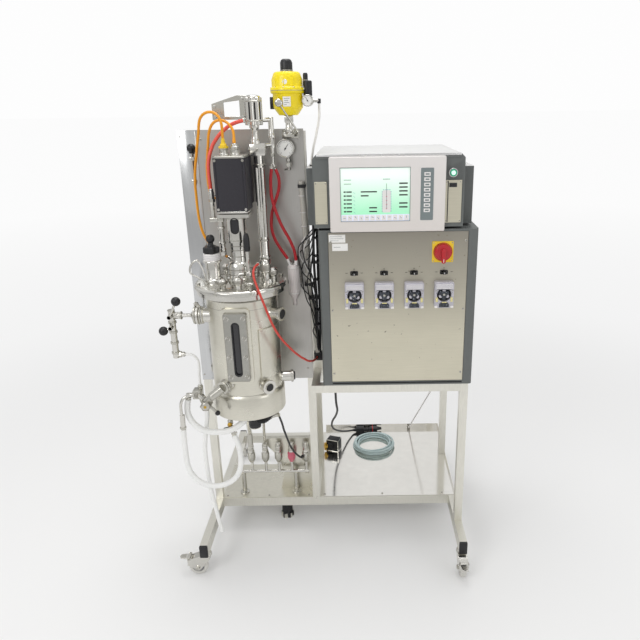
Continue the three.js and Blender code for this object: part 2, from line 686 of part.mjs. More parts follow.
function frontPlate() {
  const screws = [PLATE_X[0] + 9, PLATE_X[1] - 9].flatMap((x) => [0.06, 0.5, 0.94].map((share) => {
    const z = PLATE_Z[0] + share * (PLATE_Z[1] - PLATE_Z[0]);
    return rod([x, PLATE_Y[1], z], [x, PLATE_Y[0] - 1.6, z], 4, 5);
  }));
  const label = (xs, zs) => box(xs, [PLATE_Y[0] - 0.8, PLATE_Y[1]], zs);
  const body = join(
    box(PLATE_X, PLATE_Y, PLATE_Z),
    ...PUMPS.map(pumpHead),
    ...screws,
    label([-100, -43], [PLATE_Z[1] - 35, PLATE_Z[1] - 7]),
    label([-89, -35], [PLATE_Z[1] - 64, PLATE_Z[1] - 38]),
    switchPlate(),
  );
  const behind = PLATE_Y[1] + 1;
  const hole = (x, z, radius, from = behind, sides = 8) => rod([x, from, z], [x, -60, z], radius, sides);
  return cut(
    body,
    ...PUMPS.map((x) => hole(x, ROTOR_Z, ROTOR_R + 3, ROTOR_BACK + GAP, 10)),
    ...PUMPS.map((x) => hole(x, ROTOR_Z, SPINDLE_R)),
    ...PUMPS.map((x) => hole(x, SELECTOR_Z, SELECTOR_BORE)),
    hole(SWITCH_X, SWITCH_Z, SWITCH_BORE),
  );
}

/** Rotor with three rollers between its discs, on the spindle. */
function pumpRotor(x) {
  const front = ROTOR_BACK - ROTOR_DEPTH;
  const along = (y0, y1, radius, sides, dx = 0, dz = 0) => (
    rod([x + dx, y0, ROTOR_Z + dz], [x + dx, y1, ROTOR_Z + dz], radius, sides));
  const rollers = [90, 210, 330].map((angle) => along(
    ROTOR_BACK - 2, front - 1, 6, 6, 14 * Math.cos(degrees(angle)), 14 * Math.sin(degrees(angle)),
  ));
  return join(
    along(ROTOR_BACK, ROTOR_BACK - 4, ROTOR_R, 10),
    along(PLATE_Y[1] + 12, front - 2, SPINDLE_R - RUN, 8),
    ...rollers,
  );
}

/** Selector switch: a short lever that tilts left and right about its pivot behind the plate. */
function selector(x) {
  const [pivot, tip] = [PLATE_Y[1] + 6, PLATE_Y[0] - 12];
  return join(
    rod([x, pivot, SELECTOR_Z], [x, tip, SELECTOR_Z], 3.2, 6),
    box(around(x, 11), [tip - 6, tip + 2], around(SELECTOR_Z, 10)),
    upright(x, pivot, around(SELECTOR_Z, 14), 3.6, 6),
  );
}

/** Rotary knob with its raised grip, pointing down. */
function mainSwitchKnob() {
  const back = PLATE_Y[0] - 3 - GAP;
  const at = (y) => [SWITCH_X, y, SWITCH_Z];
  return join(
    rod(at(back), at(back - 14), 30, 16, 28),
    roundedPlate(around(SWITCH_X, 15), [SWITCH_Z - 35, SWITCH_Z + 14], [back - 30, back - 13], 5),
    rod(at(PLATE_Y[1] + 14), at(back - 1), SWITCH_BORE - 2 * RUN, 8),
  );
}

function lowerCabinet() {
  add('lower_cabinet_shell', lowerShell(), CHARCOAL);
  add('cabinet_front_plate', frontPlate(), BRUSHED);
  add('main_switch_knob', mainSwitchKnob(), RED);
  PUMPS.forEach((x, i) => {
    add(`pump_rotor_${i + 1}`, pumpRotor(x), BLACK);
    add(`selector_switch_${i + 1}`, selector(x), BLACK);
  });
}

// ---------------------------------------------------------------- upper cabinet

const BEZEL_Y = [-BEZEL_OFF - BEZEL_T, -BEZEL_OFF];

function upperShell() {
  const block = outlineOf([
    [UPPER_X[0], UPPER_BASE],
    [UPPER_X[1], UPPER_BASE],
    [UPPER_X[1], UPPER_TOP - CHAMFER],
    [UPPER_X[1] - CHAMFER, UPPER_TOP],
    [UPPER_X[0] + CHAMFER, UPPER_TOP],
    [UPPER_X[0], UPPER_TOP - CHAMFER],
  ]);
  const cheekPlate = (xs) => box(xs, [-2.5, WELD], [UPPER_BASE + 14, UPPER_TOP - 87]);
  const bezelSeat = box(
    [BEZEL_X[0] + 20, BEZEL_X[1] - 20],
    [BEZEL_Y[1] + GAP, WELD],
    [UPPER_BASE + 6, BEZEL_Z[1] - 10],
  );
  const latch = box(around(BUTTON_X, 26), [-6, -1], around(BUTTON_Z - 40, 14));
  const trim = box([UPPER_X[0] + CHAMFER, UPPER_X[1] - CHAMFER], [-3, WELD], [BEZEL_Z[1] + 1, UPPER_TOP]);
  const collar = rod([BUTTON_X, WELD, BUTTON_Z], [BUTTON_X, -3, BUTTON_Z], BUTTON_R + 4, 12);
  const glandH = CORDS.air_line.route.at(-1)[2] - UPPER_WIDE_TOP + 2 * WELD;
  const airGland = spigot('air_line', 1, glandH, 7);
  const outer = join(
    plateXZ(block, [0, UPPER_DEPTH]),
    box(UPPER_WIDE_X, [UPPER_WIDE_Y, UPPER_DEPTH], [UPPER_BASE, UPPER_WIDE_TOP]),
    cheekPlate([UPPER_X[0] + 5, BEZEL_X[0] - 9]),
    cheekPlate([BEZEL_X[1] + 1, UPPER_X[1] - 9]),
    bezelSeat,
    latch,
    trim,
    collar,
    airGland,
  );
  const inside = box(
    [UPPER_X[0] + SHELL, UPPER_X[1] - SHELL],
    [SHELL, UPPER_DEPTH - SHELL],
    [UPPER_BASE + SHELL, UPPER_TOP - CHAMFER],
  );
  const wideInside = box(
    [UPPER_WIDE_X[0] + SHELL, UPPER_WIDE_X[1] - SHELL],
    [UPPER_WIDE_Y + SHELL, UPPER_DEPTH - SHELL],
    [UPPER_BASE + SHELL, UPPER_WIDE_TOP - SHELL],
  );
  const cableHole = box([40, 160], [UPPER_DEPTH - 10, UPPER_DEPTH + 1], [UPPER_BASE + 30, UPPER_BASE + 80]);
  const buttonHole = rod([BUTTON_X, 20, BUTTON_Z], [BUTTON_X, -10, BUTTON_Z], BUTTON_R + RUN, 12);
  return cut(outer, inside, wideInside, cableHole, buttonHole);
}

/** Bezel with its raised keypad strip and a pocket for the screen. */
function displayBezel() {
  const keyX = (KEYS_X[0] + KEYS_X[1]) / 2;
  const keys = countTo(8).map((i) => box(
    around(keyX, 21),
    [BEZEL_Y[0] - 2, BEZEL_Y[0] + WELD],
    around(KEYS_Z[1] - 20 - i * 17, 12),
  ));
  const body = join(
    roundedPlate(BEZEL_X, BEZEL_Z, BEZEL_Y, 4),
    roundedPlate(KEYS_X, KEYS_Z, [BEZEL_Y[0] - 1, BEZEL_Y[0] + WELD], 3),
    ...keys,
  );
  return cut(body, box(SCREEN_X, [BEZEL_Y[0] - 3, BEZEL_Y[0] + SCREEN_RECESS + SCREEN_T], SCREEN_Z));
}

function displayScreen() {
  const back = BEZEL_Y[0] + SCREEN_RECESS + SCREEN_T - GAP;
  return box(
    [SCREEN_X[0] + GAP, SCREEN_X[1] - GAP],
    [back - SCREEN_T + GAP, back],
    [SCREEN_Z[0] + GAP, SCREEN_Z[1] - GAP],
  );
}

function powerButton() {
  const at = (y) => [BUTTON_X, y, BUTTON_Z];
  return join(rod(at(14), at(-7), BUTTON_R, 12), rod(at(-6), at(-8), BUTTON_R - 3, 12));
}

function upperCabinet() {
  add('upper_cabinet_shell', upperShell(), CHARCOAL);
  add('display_bezel', displayBezel(), WHITE);
  add('display_screen', displayScreen(), SCREEN);
  add('power_button', powerButton(), GREEN_LIT);
}

// ---------------------------------------------------------------- vessel

/** A point at an angle in degrees from the front (towards +X) and a distance from the vessel's axis. */
function fromAxis(angle, radius, z) {
  const a = degrees(angle);
  return [AXIS_X + radius * Math.sin(a), AXIS_Y - radius * Math.cos(a), z];
}

const CAPPED_PORT = { angle: -25, z: 828, reach: 18 };
const JACKET_PORTS = [
  { angle: 62, z: 1074, radius: 20, reach: 42 },
  { angle: 39, z: 817, radius: 21, reach: 26 },
  { angle: 96, z: 802, radius: 19, reach: 40 },
  { angle: -118, z: 822, radius: 22, reach: 30 },
  { ...CAPPED_PORT, radius: 21 },
];

/** Welded stub with a thicker rim, pointing straight out of the jacket. */
function stub({ angle, z, radius, reach }) {
  const root = fromAxis(angle, JACKET_R - 12, z);
  const rim = fromAxis(angle, JACKET_R + reach - 8, z);
  const end = fromAxis(angle, JACKET_R + reach, z);
  return join(rod(root, end, radius, 8), rod(rim, end, radius + 4, 8));
}

/** Inside of the vessel: a dished bottom and a straight wall. */
const insideOutline = () => [
  [BORE_R, BOWL_Z + 26],
  [BORE_R - 32, BOWL_Z + 4],
  [0, BOWL_Z],
];

/** Raised pad that wraps a part of the jacket between two angles. */
function jacketPad() {
  const proud = JACKET_R + 7;
  const ring = turned(AXIS_X, AXIS_Y, [[JACKET_R - 4, PAD_Z[0]], [proud, PAD_Z[0]], [proud, PAD_Z[1]],
    [JACKET_R - 4, PAD_Z[1]], [JACKET_R - 4, PAD_Z[0]]], FINE);
  const corner = (angle) => fromAxis(angle, JACKET_R * 1.4, 0).slice(0, 2);
  const wedge = outlineOf([[AXIS_X, AXIS_Y], corner(32), corner(55), corner(78)]);
  const options = { depth: PAD_Z[1] - PAD_Z[0] + 20, bevelEnabled: false };
  return common(ring, new THREE.ExtrudeGeometry(wedge, options).translate(0, 0, PAD_Z[0] - 10));
}

/** What hangs under the skirt: the drain, the black plug with its arm, and the tilted hose valve. */
function undersideFittings() {
  const top = SKIRT_Z[0] + 20;
  const plugX = AXIS_X + 22;
  return [
    upright(AXIS_X, AXIS_Y, [640, top], 12),
    upright(plugX, AXIS_Y - 60, [632, top], 22, 8),
    spigot('white_hose_a', 1, 34, 9),
    rod([plugX + 10, AXIS_Y - 58, 655], [-302, -70, 680], 8),
    spigot('black_lead', 0, 16, 6),
    upright(-480, -68, [624, top], 7),
    spigot('white_hose_b', 1, 40, 9),
    rod([-500, -69, 620], [-452, -69, 632], 5),
  ];
}

function vesselJacket() {
  const shell = turned(AXIS_X, AXIS_Y, [
    [0, SKIRT_Z[0] + 12], [SKIRT_R - 12, SKIRT_Z[0]], [SKIRT_R, SKIRT_Z[0]], [SKIRT_R, SKIRT_Z[1]],
    [JACKET_R, SKIRT_Z[1] + 16], [JACKET_R, FLANGE_Z[0] - 12],
    [JACKET_R + 14, FLANGE_Z[0]], [FLANGE_R, FLANGE_Z[0]], [FLANGE_R, FLANGE_Z[1]], [BORE_R, FLANGE_Z[1]],
    ...insideOutline()], FINE);
  const boss = roundedPlate(
    around(SIGHT_X, SIGHT_W + 22),
    [SIGHT_Z[0] - 12, SIGHT_Z[1] + 14],
    [BOSS_Y, AXIS_Y - BORE_R - 2],
    16,
  );
  const lugBack = PANEL_FRONT - GAP;
  const outside = join(
    shell,
    jacketPad(),
    boss,
    ...JACKET_PORTS.map(stub),
    rod([AXIS_X - 80, INLET_Y, INLET_Z], [-546, INLET_Y, INLET_Z], 26, 10),
    box(around(AXIS_X, 90), [AXIS_Y + BORE_R + 8, lugBack], [1010, 1100]),
    box(around(AXIS_X, 150), [lugBack - 8, lugBack], [990, 1120]),
    ...undersideFittings(),
  );
  const rim = FLANGE_Z[1] + 1;
  const inside = turned(AXIS_X, AXIS_Y, [[0, rim], [BORE_R, rim], ...insideOutline()], FINE);
  const front = BOSS_Y - 1;
  const seat = GLASS_EDGE + GAP;
  const glassSeat = roundedPlate(
    around(SIGHT_X, SLOT_W + 2 * seat),
    [SLOT_Z[0] - seat, SLOT_Z[1] + seat],
    [front, BOSS_Y + GLASS_T],
    9,
  );
  const through = [front, AXIS_Y - BORE_R + 20];
  const slot = roundedPlate(around(SIGHT_X, SLOT_W), SLOT_Z, through, SLOT_W / 2 - 0.1, 2);
  return cut(outside, inside, glassSeat, slot);
}

function sightGlassFrame() {
  const y = [BOSS_Y - SIGHT_T - GAP, BOSS_Y - GAP];
  const bolts = [-1, 1].flatMap((side) => [0.07, 0.36, 0.64, 0.93].map((share) => {
    const [x, z] = [SIGHT_X + side * (SIGHT_W / 2 - 11), SIGHT_Z[0] + share * (SIGHT_Z[1] - SIGHT_Z[0])];
    return rod([x, y[0] + WELD, z], [x, y[0] - 7, z], 6, 6);
  }));
  const plate = roundedPlate(around(SIGHT_X, SIGHT_W), SIGHT_Z, y, 12);
  const slot = roundedPlate(around(SIGHT_X, SLOT_W), SLOT_Z, [y[0] - 1, y[1] + 1], SLOT_W / 2 - 0.1, 2);
  return cut(join(plate, ...bolts), slot);
}

function sightGlass() {
  const glass = roundedPlate(
    around(SIGHT_X, SLOT_W + 2 * GLASS_EDGE),
    [SLOT_Z[0] - GLASS_EDGE, SLOT_Z[1] + GLASS_EDGE],
    [BOSS_Y, BOSS_Y + GLASS_T - GAP],
    9,
  );
  return clean(glass);
}

const LID_WELD = LID_TOP - WELD;

/** Body of the left port, and the steam line that rises beside it to the coral hose. */
function leftPort() {
  const [x, y, r] = [PORT_X, PORT_Y, PORT_R];
  const low = LID_WELD;
  return [
    turned(x, y, [[0, low], [r + 7, low], [r + 7, low + 12], [r, low + 14], [r, PORT_TOP], [0, PORT_TOP]]),
    box([x + 12, x + 44], [y + 10, y + 42], [PORT_TOP - 15, PORT_TOP - 1]),
    upright(x + 34, y + 32, [PORT_TOP - 2, 1385], 9),
    box([x - 2, x + 45], [y + 21, y + 43], [1378, 1392]),
    upright(x + 10, y + 34, [1390, 1440], 7),
    spigot('coral_hose', 0, 58, 9),
  ];
}

/** Bent rod handle at the lid's left edge. */
function lidHandle() {
  const loop = [[-516, -66, 1175], [-536, -66, 1195], [-570, -64, 1217], [-545, -62, 1259], [-530, -60, 1235],
    [-518, -58, 1175]];
  return tube(loop, 3, 10, 5);
}

/** Lid with its port collars, the sensor, the handle, the bolts and the left port. */
function vesselLid() {
  const bottom = FLANGE_Z[1] + GAP;
  const disc = turned(AXIS_X, AXIS_Y, [
    [0, bottom], [LID_R, bottom], [LID_R, LID_TOP - 5], [LID_R - 6, LID_TOP], [0, LID_TOP],
  ], FINE);
  const cap = (x, y, radius, height) => upright(x, y, [LID_WELD, LID_TOP + height], radius, 8);
  const boltHeads = countTo(8).map((i) => {
    const [x, y] = fromAxis(22.5 + i * 45, LID_R - 12, 0);
    return upright(x, y, [LID_WELD, LID_TOP + 8], 7, 6);
  });
  const body = join(
    disc,
    upright(AXIS_X, AXIS_Y, [bottom - 7, bottom + WELD], BORE_R - 2, SIDES),
    ...leftPort(),
    lidHandle(),
    upright(-372, -62, [LID_WELD, 1290], 6),
    upright(-372, -62, [LID_WELD, LID_TOP + 26], 14, 6),
    upright(-372, -62, [1288, 1348], 10.5),
    cap(-452, -122, 17, 34),
    cap(-396, -138, 15, 42),
    cap(-300, -20, 21, 46),
    cap(-470, 66, 18, 40),
    cap(-316, -50, 17, 80),
    spigot('thin_red_hose', 0, 26, 7),
    ...boltHeads,
  );
  const shaftBore = upright(AXIS_X, AXIS_Y, [bottom - 10, LID_TOP + 10], SHAFT_BORE_R, 8);
  const wheelBore = upright(PORT_X, PORT_Y, [PORT_TOP - 20, PORT_TOP + 5], 6.5, 8);
  return cut(body, shaftBore, wheelBore);
}

/** Star knob on the left port, with the ball knob on its stem. */
function portHandwheel() {
  const z = PORT_TOP + RUN;
  const star = new THREE.ExtrudeGeometry(lobedShape(6, 29, 22), { depth: 22, bevelEnabled: false });
  return join(
    upright(PORT_X, PORT_Y, [PORT_TOP - 18, z + 1], 6 - RUN),
    star.translate(PORT_X, PORT_Y, z),
    upright(PORT_X, PORT_Y, [z + 20, z + 40], 9),
    ball(PORT_X, PORT_Y, z + 48, 15, 10),
  );
}

/** Bearing and seal column on the lid, with the sensor plug that the orange cable ends in. */
function driveColumn() {
  const z = LID_TOP + GAP;
  const body = turned(AXIS_X, AXIS_Y, [
    [SHAFT_BORE_R, z], [COLUMN_LOW_R + 5, z], [COLUMN_LOW_R + 5, z + 12], [COLUMN_LOW_R, z + 14],
    [COLUMN_LOW_R, COLUMN_LOW_TOP], [COLUMN_R, COLUMN_LOW_TOP + 6], [COLUMN_R, COLUMN_TOP],
    [SHAFT_BORE_R, COLUMN_TOP], [SHAFT_BORE_R, z]], 16);
  return join(body, spigot('orange_cable_1', 1, 18, 7));
}

function couplingHousing() {
  const z = [COLUMN_TOP + GAP, COUPLING_TOP];
  const flangeT = 11;
  const bore = COUPLING_BORE_R;
  const body = turned(AXIS_X, AXIS_Y, [[bore, z[0] + 4], [COUPLING_R - 4, z[0] + 4], [COUPLING_R - 4, z[0]],
    [COUPLING_R, z[0]], [COUPLING_R, z[1] - 8], [bore, z[1] - 8], [bore, z[0] + 4]], 16);
  const floor = turned(AXIS_X, AXIS_Y, [
    [SHAFT_BORE_R, z[0]], [COUPLING_R - 3, z[0]], [COUPLING_R - 3, z[0] + 6],
    [SHAFT_BORE_R, z[0] + 6], [SHAFT_BORE_R, z[0]],
  ], 16);
  const flange = cut(
    box(around(AXIS_X, COUPLING_FLANGE), around(AXIS_Y, COUPLING_FLANGE), [z[1] - flangeT, z[1]]),
    upright(AXIS_X, AXIS_Y, [z[1] - 20, z[1] + 5], bore, 16),
  );
  const window = roundedPlate(around(AXIS_X, 26), [1345, 1396], [AXIS_Y - 60, AXIS_Y], 12);
  return cut(join(body, floor, flange), window);
}

/** Square motor with its end plates, the box at its back and two round connectors on top. */
function motorBody() {
  const [z0, z1] = MOTOR_Z;
  const back = AXIS_Y + MOTOR_W / 2;
  const square = (size, zs) => box(around(AXIS_X, size), around(AXIS_Y, size), zs);
  const connector = (x) => turned(x, CONNECTOR_Y, [[0, z1 - 1], [15, z1 - 1], [15, z1 + 28],
    [11, z1 + CONNECTOR_H - 4], [0, z1 + CONNECTOR_H - 4]], 10);
  const all = join(
    square(MOTOR_W, [z0 + 4, z1 - 4]),
    square(MOTOR_W + 3, [z0 + GAP, z0 + 5]),
    square(MOTOR_W + 3, [z1 - 5, z1]),
    box(around(AXIS_X + 12, MOTOR_W - 20), [back - 2, back + 34], [z0 + 20, z1 - 6]),
    ...CONNECTOR_X.map(connector),
    spigot('orange_cable_1', 0, 6, 7),
    spigot('orange_cable_2', 0, 6, 7),
  );
  return cut(all, upright(AXIS_X, AXIS_Y, [z0 - 5, SHAFT_TOP + 4], SHAFT_BORE_R, 8));
}

/** Shaft with its coupling half and two six-bladed impellers. */
function agitatorShaft() {
  const impeller = (z) => [
    upright(AXIS_X, AXIS_Y, around(z, 18), 13, 6),
    ...[0, 60, 120].map((angle) => box([-IMPELLER_R, IMPELLER_R], around(0, 2.5), around(0, 16))
      .rotateZ(degrees(angle)).translate(AXIS_X, AXIS_Y, z)),
  ];
  return join(
    upright(AXIS_X, AXIS_Y, [SHAFT_BOTTOM, SHAFT_TOP], SHAFT_R, 8),
    upright(AXIS_X, AXIS_Y, [1330, 1392], 19, 10),
    ...IMPELLER_Z.flatMap(impeller),
  );
}

function vessel() {
  add('vessel_jacket', vesselJacket(), STEEL);
  add('sight_glass_frame', sightGlassFrame(), SATIN);
  add('sight_glass', sightGlass(), GLASS);
  add('vessel_lid', vesselLid(), STEEL);
  add('port_handwheel', portHandwheel(), BLACK);
  add('drive_column', driveColumn(), STEEL);
  add('coupling_housing', couplingHousing(), WHITE);
  add('motor_body', motorBody(), MOTOR);
  add('agitator_shaft', agitatorShaft(), POLISHED);
}

// ---------------------------------------------------------------- piping

const VALVE_X = COOLER_X - 8; // middle of the ribbed valve cylinder
const SIDE_PIPE = { x: -288, y: 90 };

/** Sheet bracket with a window, behind the ribbed cylinder. */
function exhaustBracket() {
  const bracket = outlineOf([[-476, 1706], [VALVE_X, 1706], [VALVE_X, 1780], [-392, 1782], [-476, 1756]]);
  bracket.holes.push(outlineOf([[-436, 1716], [-384, 1716], [-384, 1766], [-436, 1760]], THREE.Path));
  return plateXZ(bracket, [COOLER_Y + 10, COOLER_Y + 13]);
}

/** Exhaust cooler on its collar, and above it the block, the neck and the ribbed valve cylinder. */
function exhaustLine() {
  const [x, y] = [COOLER_X, COOLER_Y];
  const { x: sideX, y: sideY } = SIDE_PIPE;
  const z = LID_TOP + GAP;
  const low = EXHAUST_Z[0] + WELD;
  const depth = EXHAUST_Z[1] - EXHAUST_Z[0];
  const ribs = lobedShape(8, EXHAUST_R + 2, EXHAUST_R - 2);
  const ribbed = new THREE.ExtrudeGeometry(ribs, { depth, bevelEnabled: false });
  return join(
    turned(x, y, [[0, z], [22, z], [22, z + 14], [18, z + 18], [18, z + 70], [COOLER_R, z + 74],
      [COOLER_R, COOLER_TOP], [0, COOLER_TOP]], 12),
    box(around(x, 52), around(y, 44), [COOLER_TOP - WELD, 1629]),
    turned(VALVE_X, y, [[0, 1628], [15, 1628], [11, 1644], [11, 1674], [16, 1680], [16, low], [0, low]], 10),
    ribbed.translate(VALVE_X, y, EXHAUST_Z[0]),
    exhaustBracket(),
    spigot('coral_hose', 1, 20, 8),
    rod([x, y + 12, 1622], [sideX, sideY, 1622], 8),
    upright(sideX, sideY, [1612, 1712], 9),
    rod([sideX, sideY, 1704], [VALVE_X, y + 12, 1704], 7),
    upright(sideX, sideY, [1552, 1613], 6),
    spigot('red_hose_1', 0, 22, 5),
    spigot('red_hose_2', 0, 22, 5),
  );
}

/** Valve actuator on its yoke, with the bracket to the panel, the side regulator and its small gauge. */
function valveActuator() {
  const [x, y, r] = [ACTUATOR_X, ACTUATOR_Y, ACTUATOR_R];
  const [z0, z1] = ACTUATOR_Z;
  const lugBack = PANEL_FRONT - GAP;
  const sideX = x + r + 18;
  const elbowX = -124;
  const body = turned(x, y, [[0, z0], [r - 18, z0], [r, z0 + 24], [r, z0 + 68], [r + 7, z0 + 72],
    [r + 7, z0 + 86], [r, z0 + 90], [r, z1 - 20], [r - 8, z1], [0, z1]], 16);
  return join(
    body,
    upright(x, y, [z1 - 1, ACTUATOR_CAP_TOP], 20, 10),
    box(around(x, 28), around(y, 28), [z0 - 24, z0 + 1]),
    upright(x, y, [1648, z0 - 20], 12),
    box(around(x, 34), [y - 12, lugBack], [1646, 1655]),
    box(around(x, 60), [lugBack - 5, lugBack], [1640, 1668]),
    rod([x + r - 12, y - 4, 1800], [sideX, y - 4, 1800], 9),
    upright(sideX, y - 4, [1776, 1826], 15, 8),
    upright(sideX - 6, y - 4, [1824, 1850], 8),
    upright(sideX, y - 4, [1752, 1778], 9),
    rod([sideX, y + 6, 1763], [sideX, y - 34, 1763], 19, 10),
    rod([sideX, y - 4, 1763], [elbowX, y - 4, 1763], 6),
    spigot('air_line', 0, 15, 6),
    rod([x - 26, y, 1757], [x - 26, y - 54, 1757], 9),
    rod([x - 26, y - 50, 1757], [x + 30, y - 18, 1664], 3, 6),
    rod([x + 30, y - 18, 1664], [x + 20, y + 20, 1650], 4, 6),
  );
}

/** Clamped inlet: the clamp, a short pipe, the upright pipe and its elbow. */
function inletPipe() {
  const [x, y, z] = [INLET_PIPE_X, INLET_Y, INLET_Z];
  const clampX = -546 - GAP;
  return join(
    rod([clampX, y, z], [clampX - 26, y, z], 31, 12),
    rod([clampX - 4, y, z + 26], [clampX - 22, y, z + 46], 6),
    rod([clampX - 20, y, z], [x, y, z], 6.5),
    rod([x + 34, y, z], [x + 10, y, z], 12),
    upright(x, y, [INLET_LOW_Z - 12, z + 18], 11),
    ...[z - 60, z - 100].map((ring) => upright(x, y, around(ring, 10), 14)),
    rod([x, y, INLET_LOW_Z], [x + 30, y, INLET_LOW_Z], 9),
    spigot('inlet_hose', 0, 14, 6),
  );
}

const LEVER_GAP = 2 * GAP;
const UPPER_LEVER = { z: INLET_Z + 2, dx: 30, dz: 58 };
const LOWER_LEVER = { z: INLET_Z - 38, dx: -24, dz: -8 };

/** Lever of a ball valve, which turns about an axis that runs to the front. */
function ballLever({ z, dx, dz }) {
  const x = INLET_PIPE_X;
  const y = INLET_Y - 11 - LEVER_GAP;
  return join(
    rod([x, y, z], [x, y - 22, z], 7),
    rod([x, y - 17, z], [x + dx * 0.8, y - 19, z + dz * 0.8], 4),
    ball(x + dx, y - 20, z + dz, KNOB_R, 10),
  );
}

/** Sampling valve on the capped port: its nut, the manifold block and the four hose ends. */
function samplingValve() {
  const { angle, z, reach } = CAPPED_PORT;
  const along = (r, dz = 0) => fromAxis(angle, JACKET_R + reach + r, z - dz);
  const elbow = [-512, -160, 800];
  const nut = [-536, -156, 768];
  const [nx, ny, nz] = nut;
  const steelTube = [
    [-592, -84, 770], [-606, -90, 771], [-622, -95, 769], [-636, -99, 760], [-643, -102, 744],
    [-645, -103, 724], [-645, -103, 697],
  ];
  return join(
    rod(along(GAP), along(14), 23, 10),
    rod(along(13), elbow, 15, 8),
    rod(elbow, [nx, ny, nz + 8], 12),
    rod([nx, ny + 16, nz], [nx, ny - 24, nz], 19, 6),
    rod([nx, ny + 4, nz], [-588, -76, 768], 9),
    box([-602, -570], [-92, -52], [754, 786]),
    spigot('inlet_hose', 1, 18, 7),
    rod([-600, -75, 765], [-622, -75, 765], 8),
    spigot('white_hose_a', 0, 22, 9),
    rod([-572, -70, 760], [-561, -66, 738], 7),
    spigot('white_hose_c', 0, 38, 7),
    rod([nx, ny, nz], [nx + 34, ny - 2, nz - 32], 5),
    ball(nx + 36, ny - 2, nz - 34, 9, 8),
    tube(steelTube, 5, 8, 5),
    spigot('white_hose_b', 0, 58, 9),
  );
}

function piping() {
  add('exhaust_line', exhaustLine(), STEEL);
  add('valve_actuator', valveActuator(), YELLOW);
  add('inlet_pipe', inletPipe(), STEEL);
  add('inlet_lever_upper', ballLever(UPPER_LEVER), BLACK);
  add('inlet_lever_lower', ballLever(LOWER_LEVER), BLACK);
  add('sampling_valve', samplingValve(), STEEL);
}

// ---------------------------------------------------------------- cords

const LOOM_END = 826; // where the cables go into the box on the post

/** Cables that are strapped to the middle post from end to end, with their straps. */
function cableLoom() {
  const panel = PANEL_FRONT - GAP;
  const strap = (xs, ys, z, height = 8) => box(xs, ys, around(z, height));
  const trunk = [
    [-200, 150, 1492], [-196, 150, 1400], [-192, 150, 1300], [-189, 150, 1200], [-186, 148, 1110],
    [-174, 144, 1030], [-167, 144, 950], [-165, 148, 880], [-164, 152, LOOM_END],
  ];
  const hang = (share) => LOOM_END + share * (UPPER_BASE - LOOM_END);
  const left = [
    [-157, 78, UPPER_BASE - GAP], [-157, 78, hang(0.977)], [-160, 88, hang(0.828)],
    [-161, 102, hang(0.676)], [-158, 110, hang(0.523)], [-157, 116, hang(0.351)], [-160, 130, hang(0.16)],
    [-161, 152, LOOM_END],
  ];
  const right = [
    [-147, 100, UPPER_BASE - GAP], [-147, 100, hang(0.977)], [-147, 108, hang(0.809)],
    [-149, 118, hang(0.637)], [-147, 122, hang(0.447)], [-148, 128, hang(0.294)], [-151, 140, hang(0.141)],
    [-154, 154, LOOM_END],
  ];
  return join(
    tube(trunk, 10, 11),
    tube(left, 5, 11, 6),
    tube(right, 5, 11, 6),
    strap([-212, -184], [138, panel], 1476, 12),
    strap([-202, -170], [138, panel], 1112, 12),
    strap([-172, -142], [96, 120], hang(0.725)),
    strap([-188, -142], [108, 152], hang(0.458)),
    box([-178, -144], [140, POST_FACE - GAP], [802, 834]),
    spigot('thin_red_hose', 1, 6, 6),
  );
}

/** Bundle of plugs in which the cable from the cabinet ends, at the back of the tray. */
function trayPlug() {
  const z = SHEET_Z[1] + GAP;
  return join(
    spigot('tray_lead', 1, 22, 6),
    rod([-26, 722, z + 11], [56, 728, z + 11], 10),
    box([-22, 18], [706, 740], [z, z + 28]),
    box([46, 86], [712, 740], [z, z + 24]),
    rod([80, 730, z + 12], [108, 736, z + 12], 8),
  );
}

/** Outer shape of the coil of hose on the tray. */
function hoseCoil() {
  const z = SHEET_Z[1] + GAP;
  const [inner, outer, height] = [COIL_R - 1.5 * COIL_D, COIL_R + 1.5 * COIL_D, 2 * COIL_D];
  const ring = [[inner, z], [outer, z], [outer, z + height], [inner, z + height], [inner, z]];
  return clean(turned(COIL_X, COIL_Y, ring, 24));
}

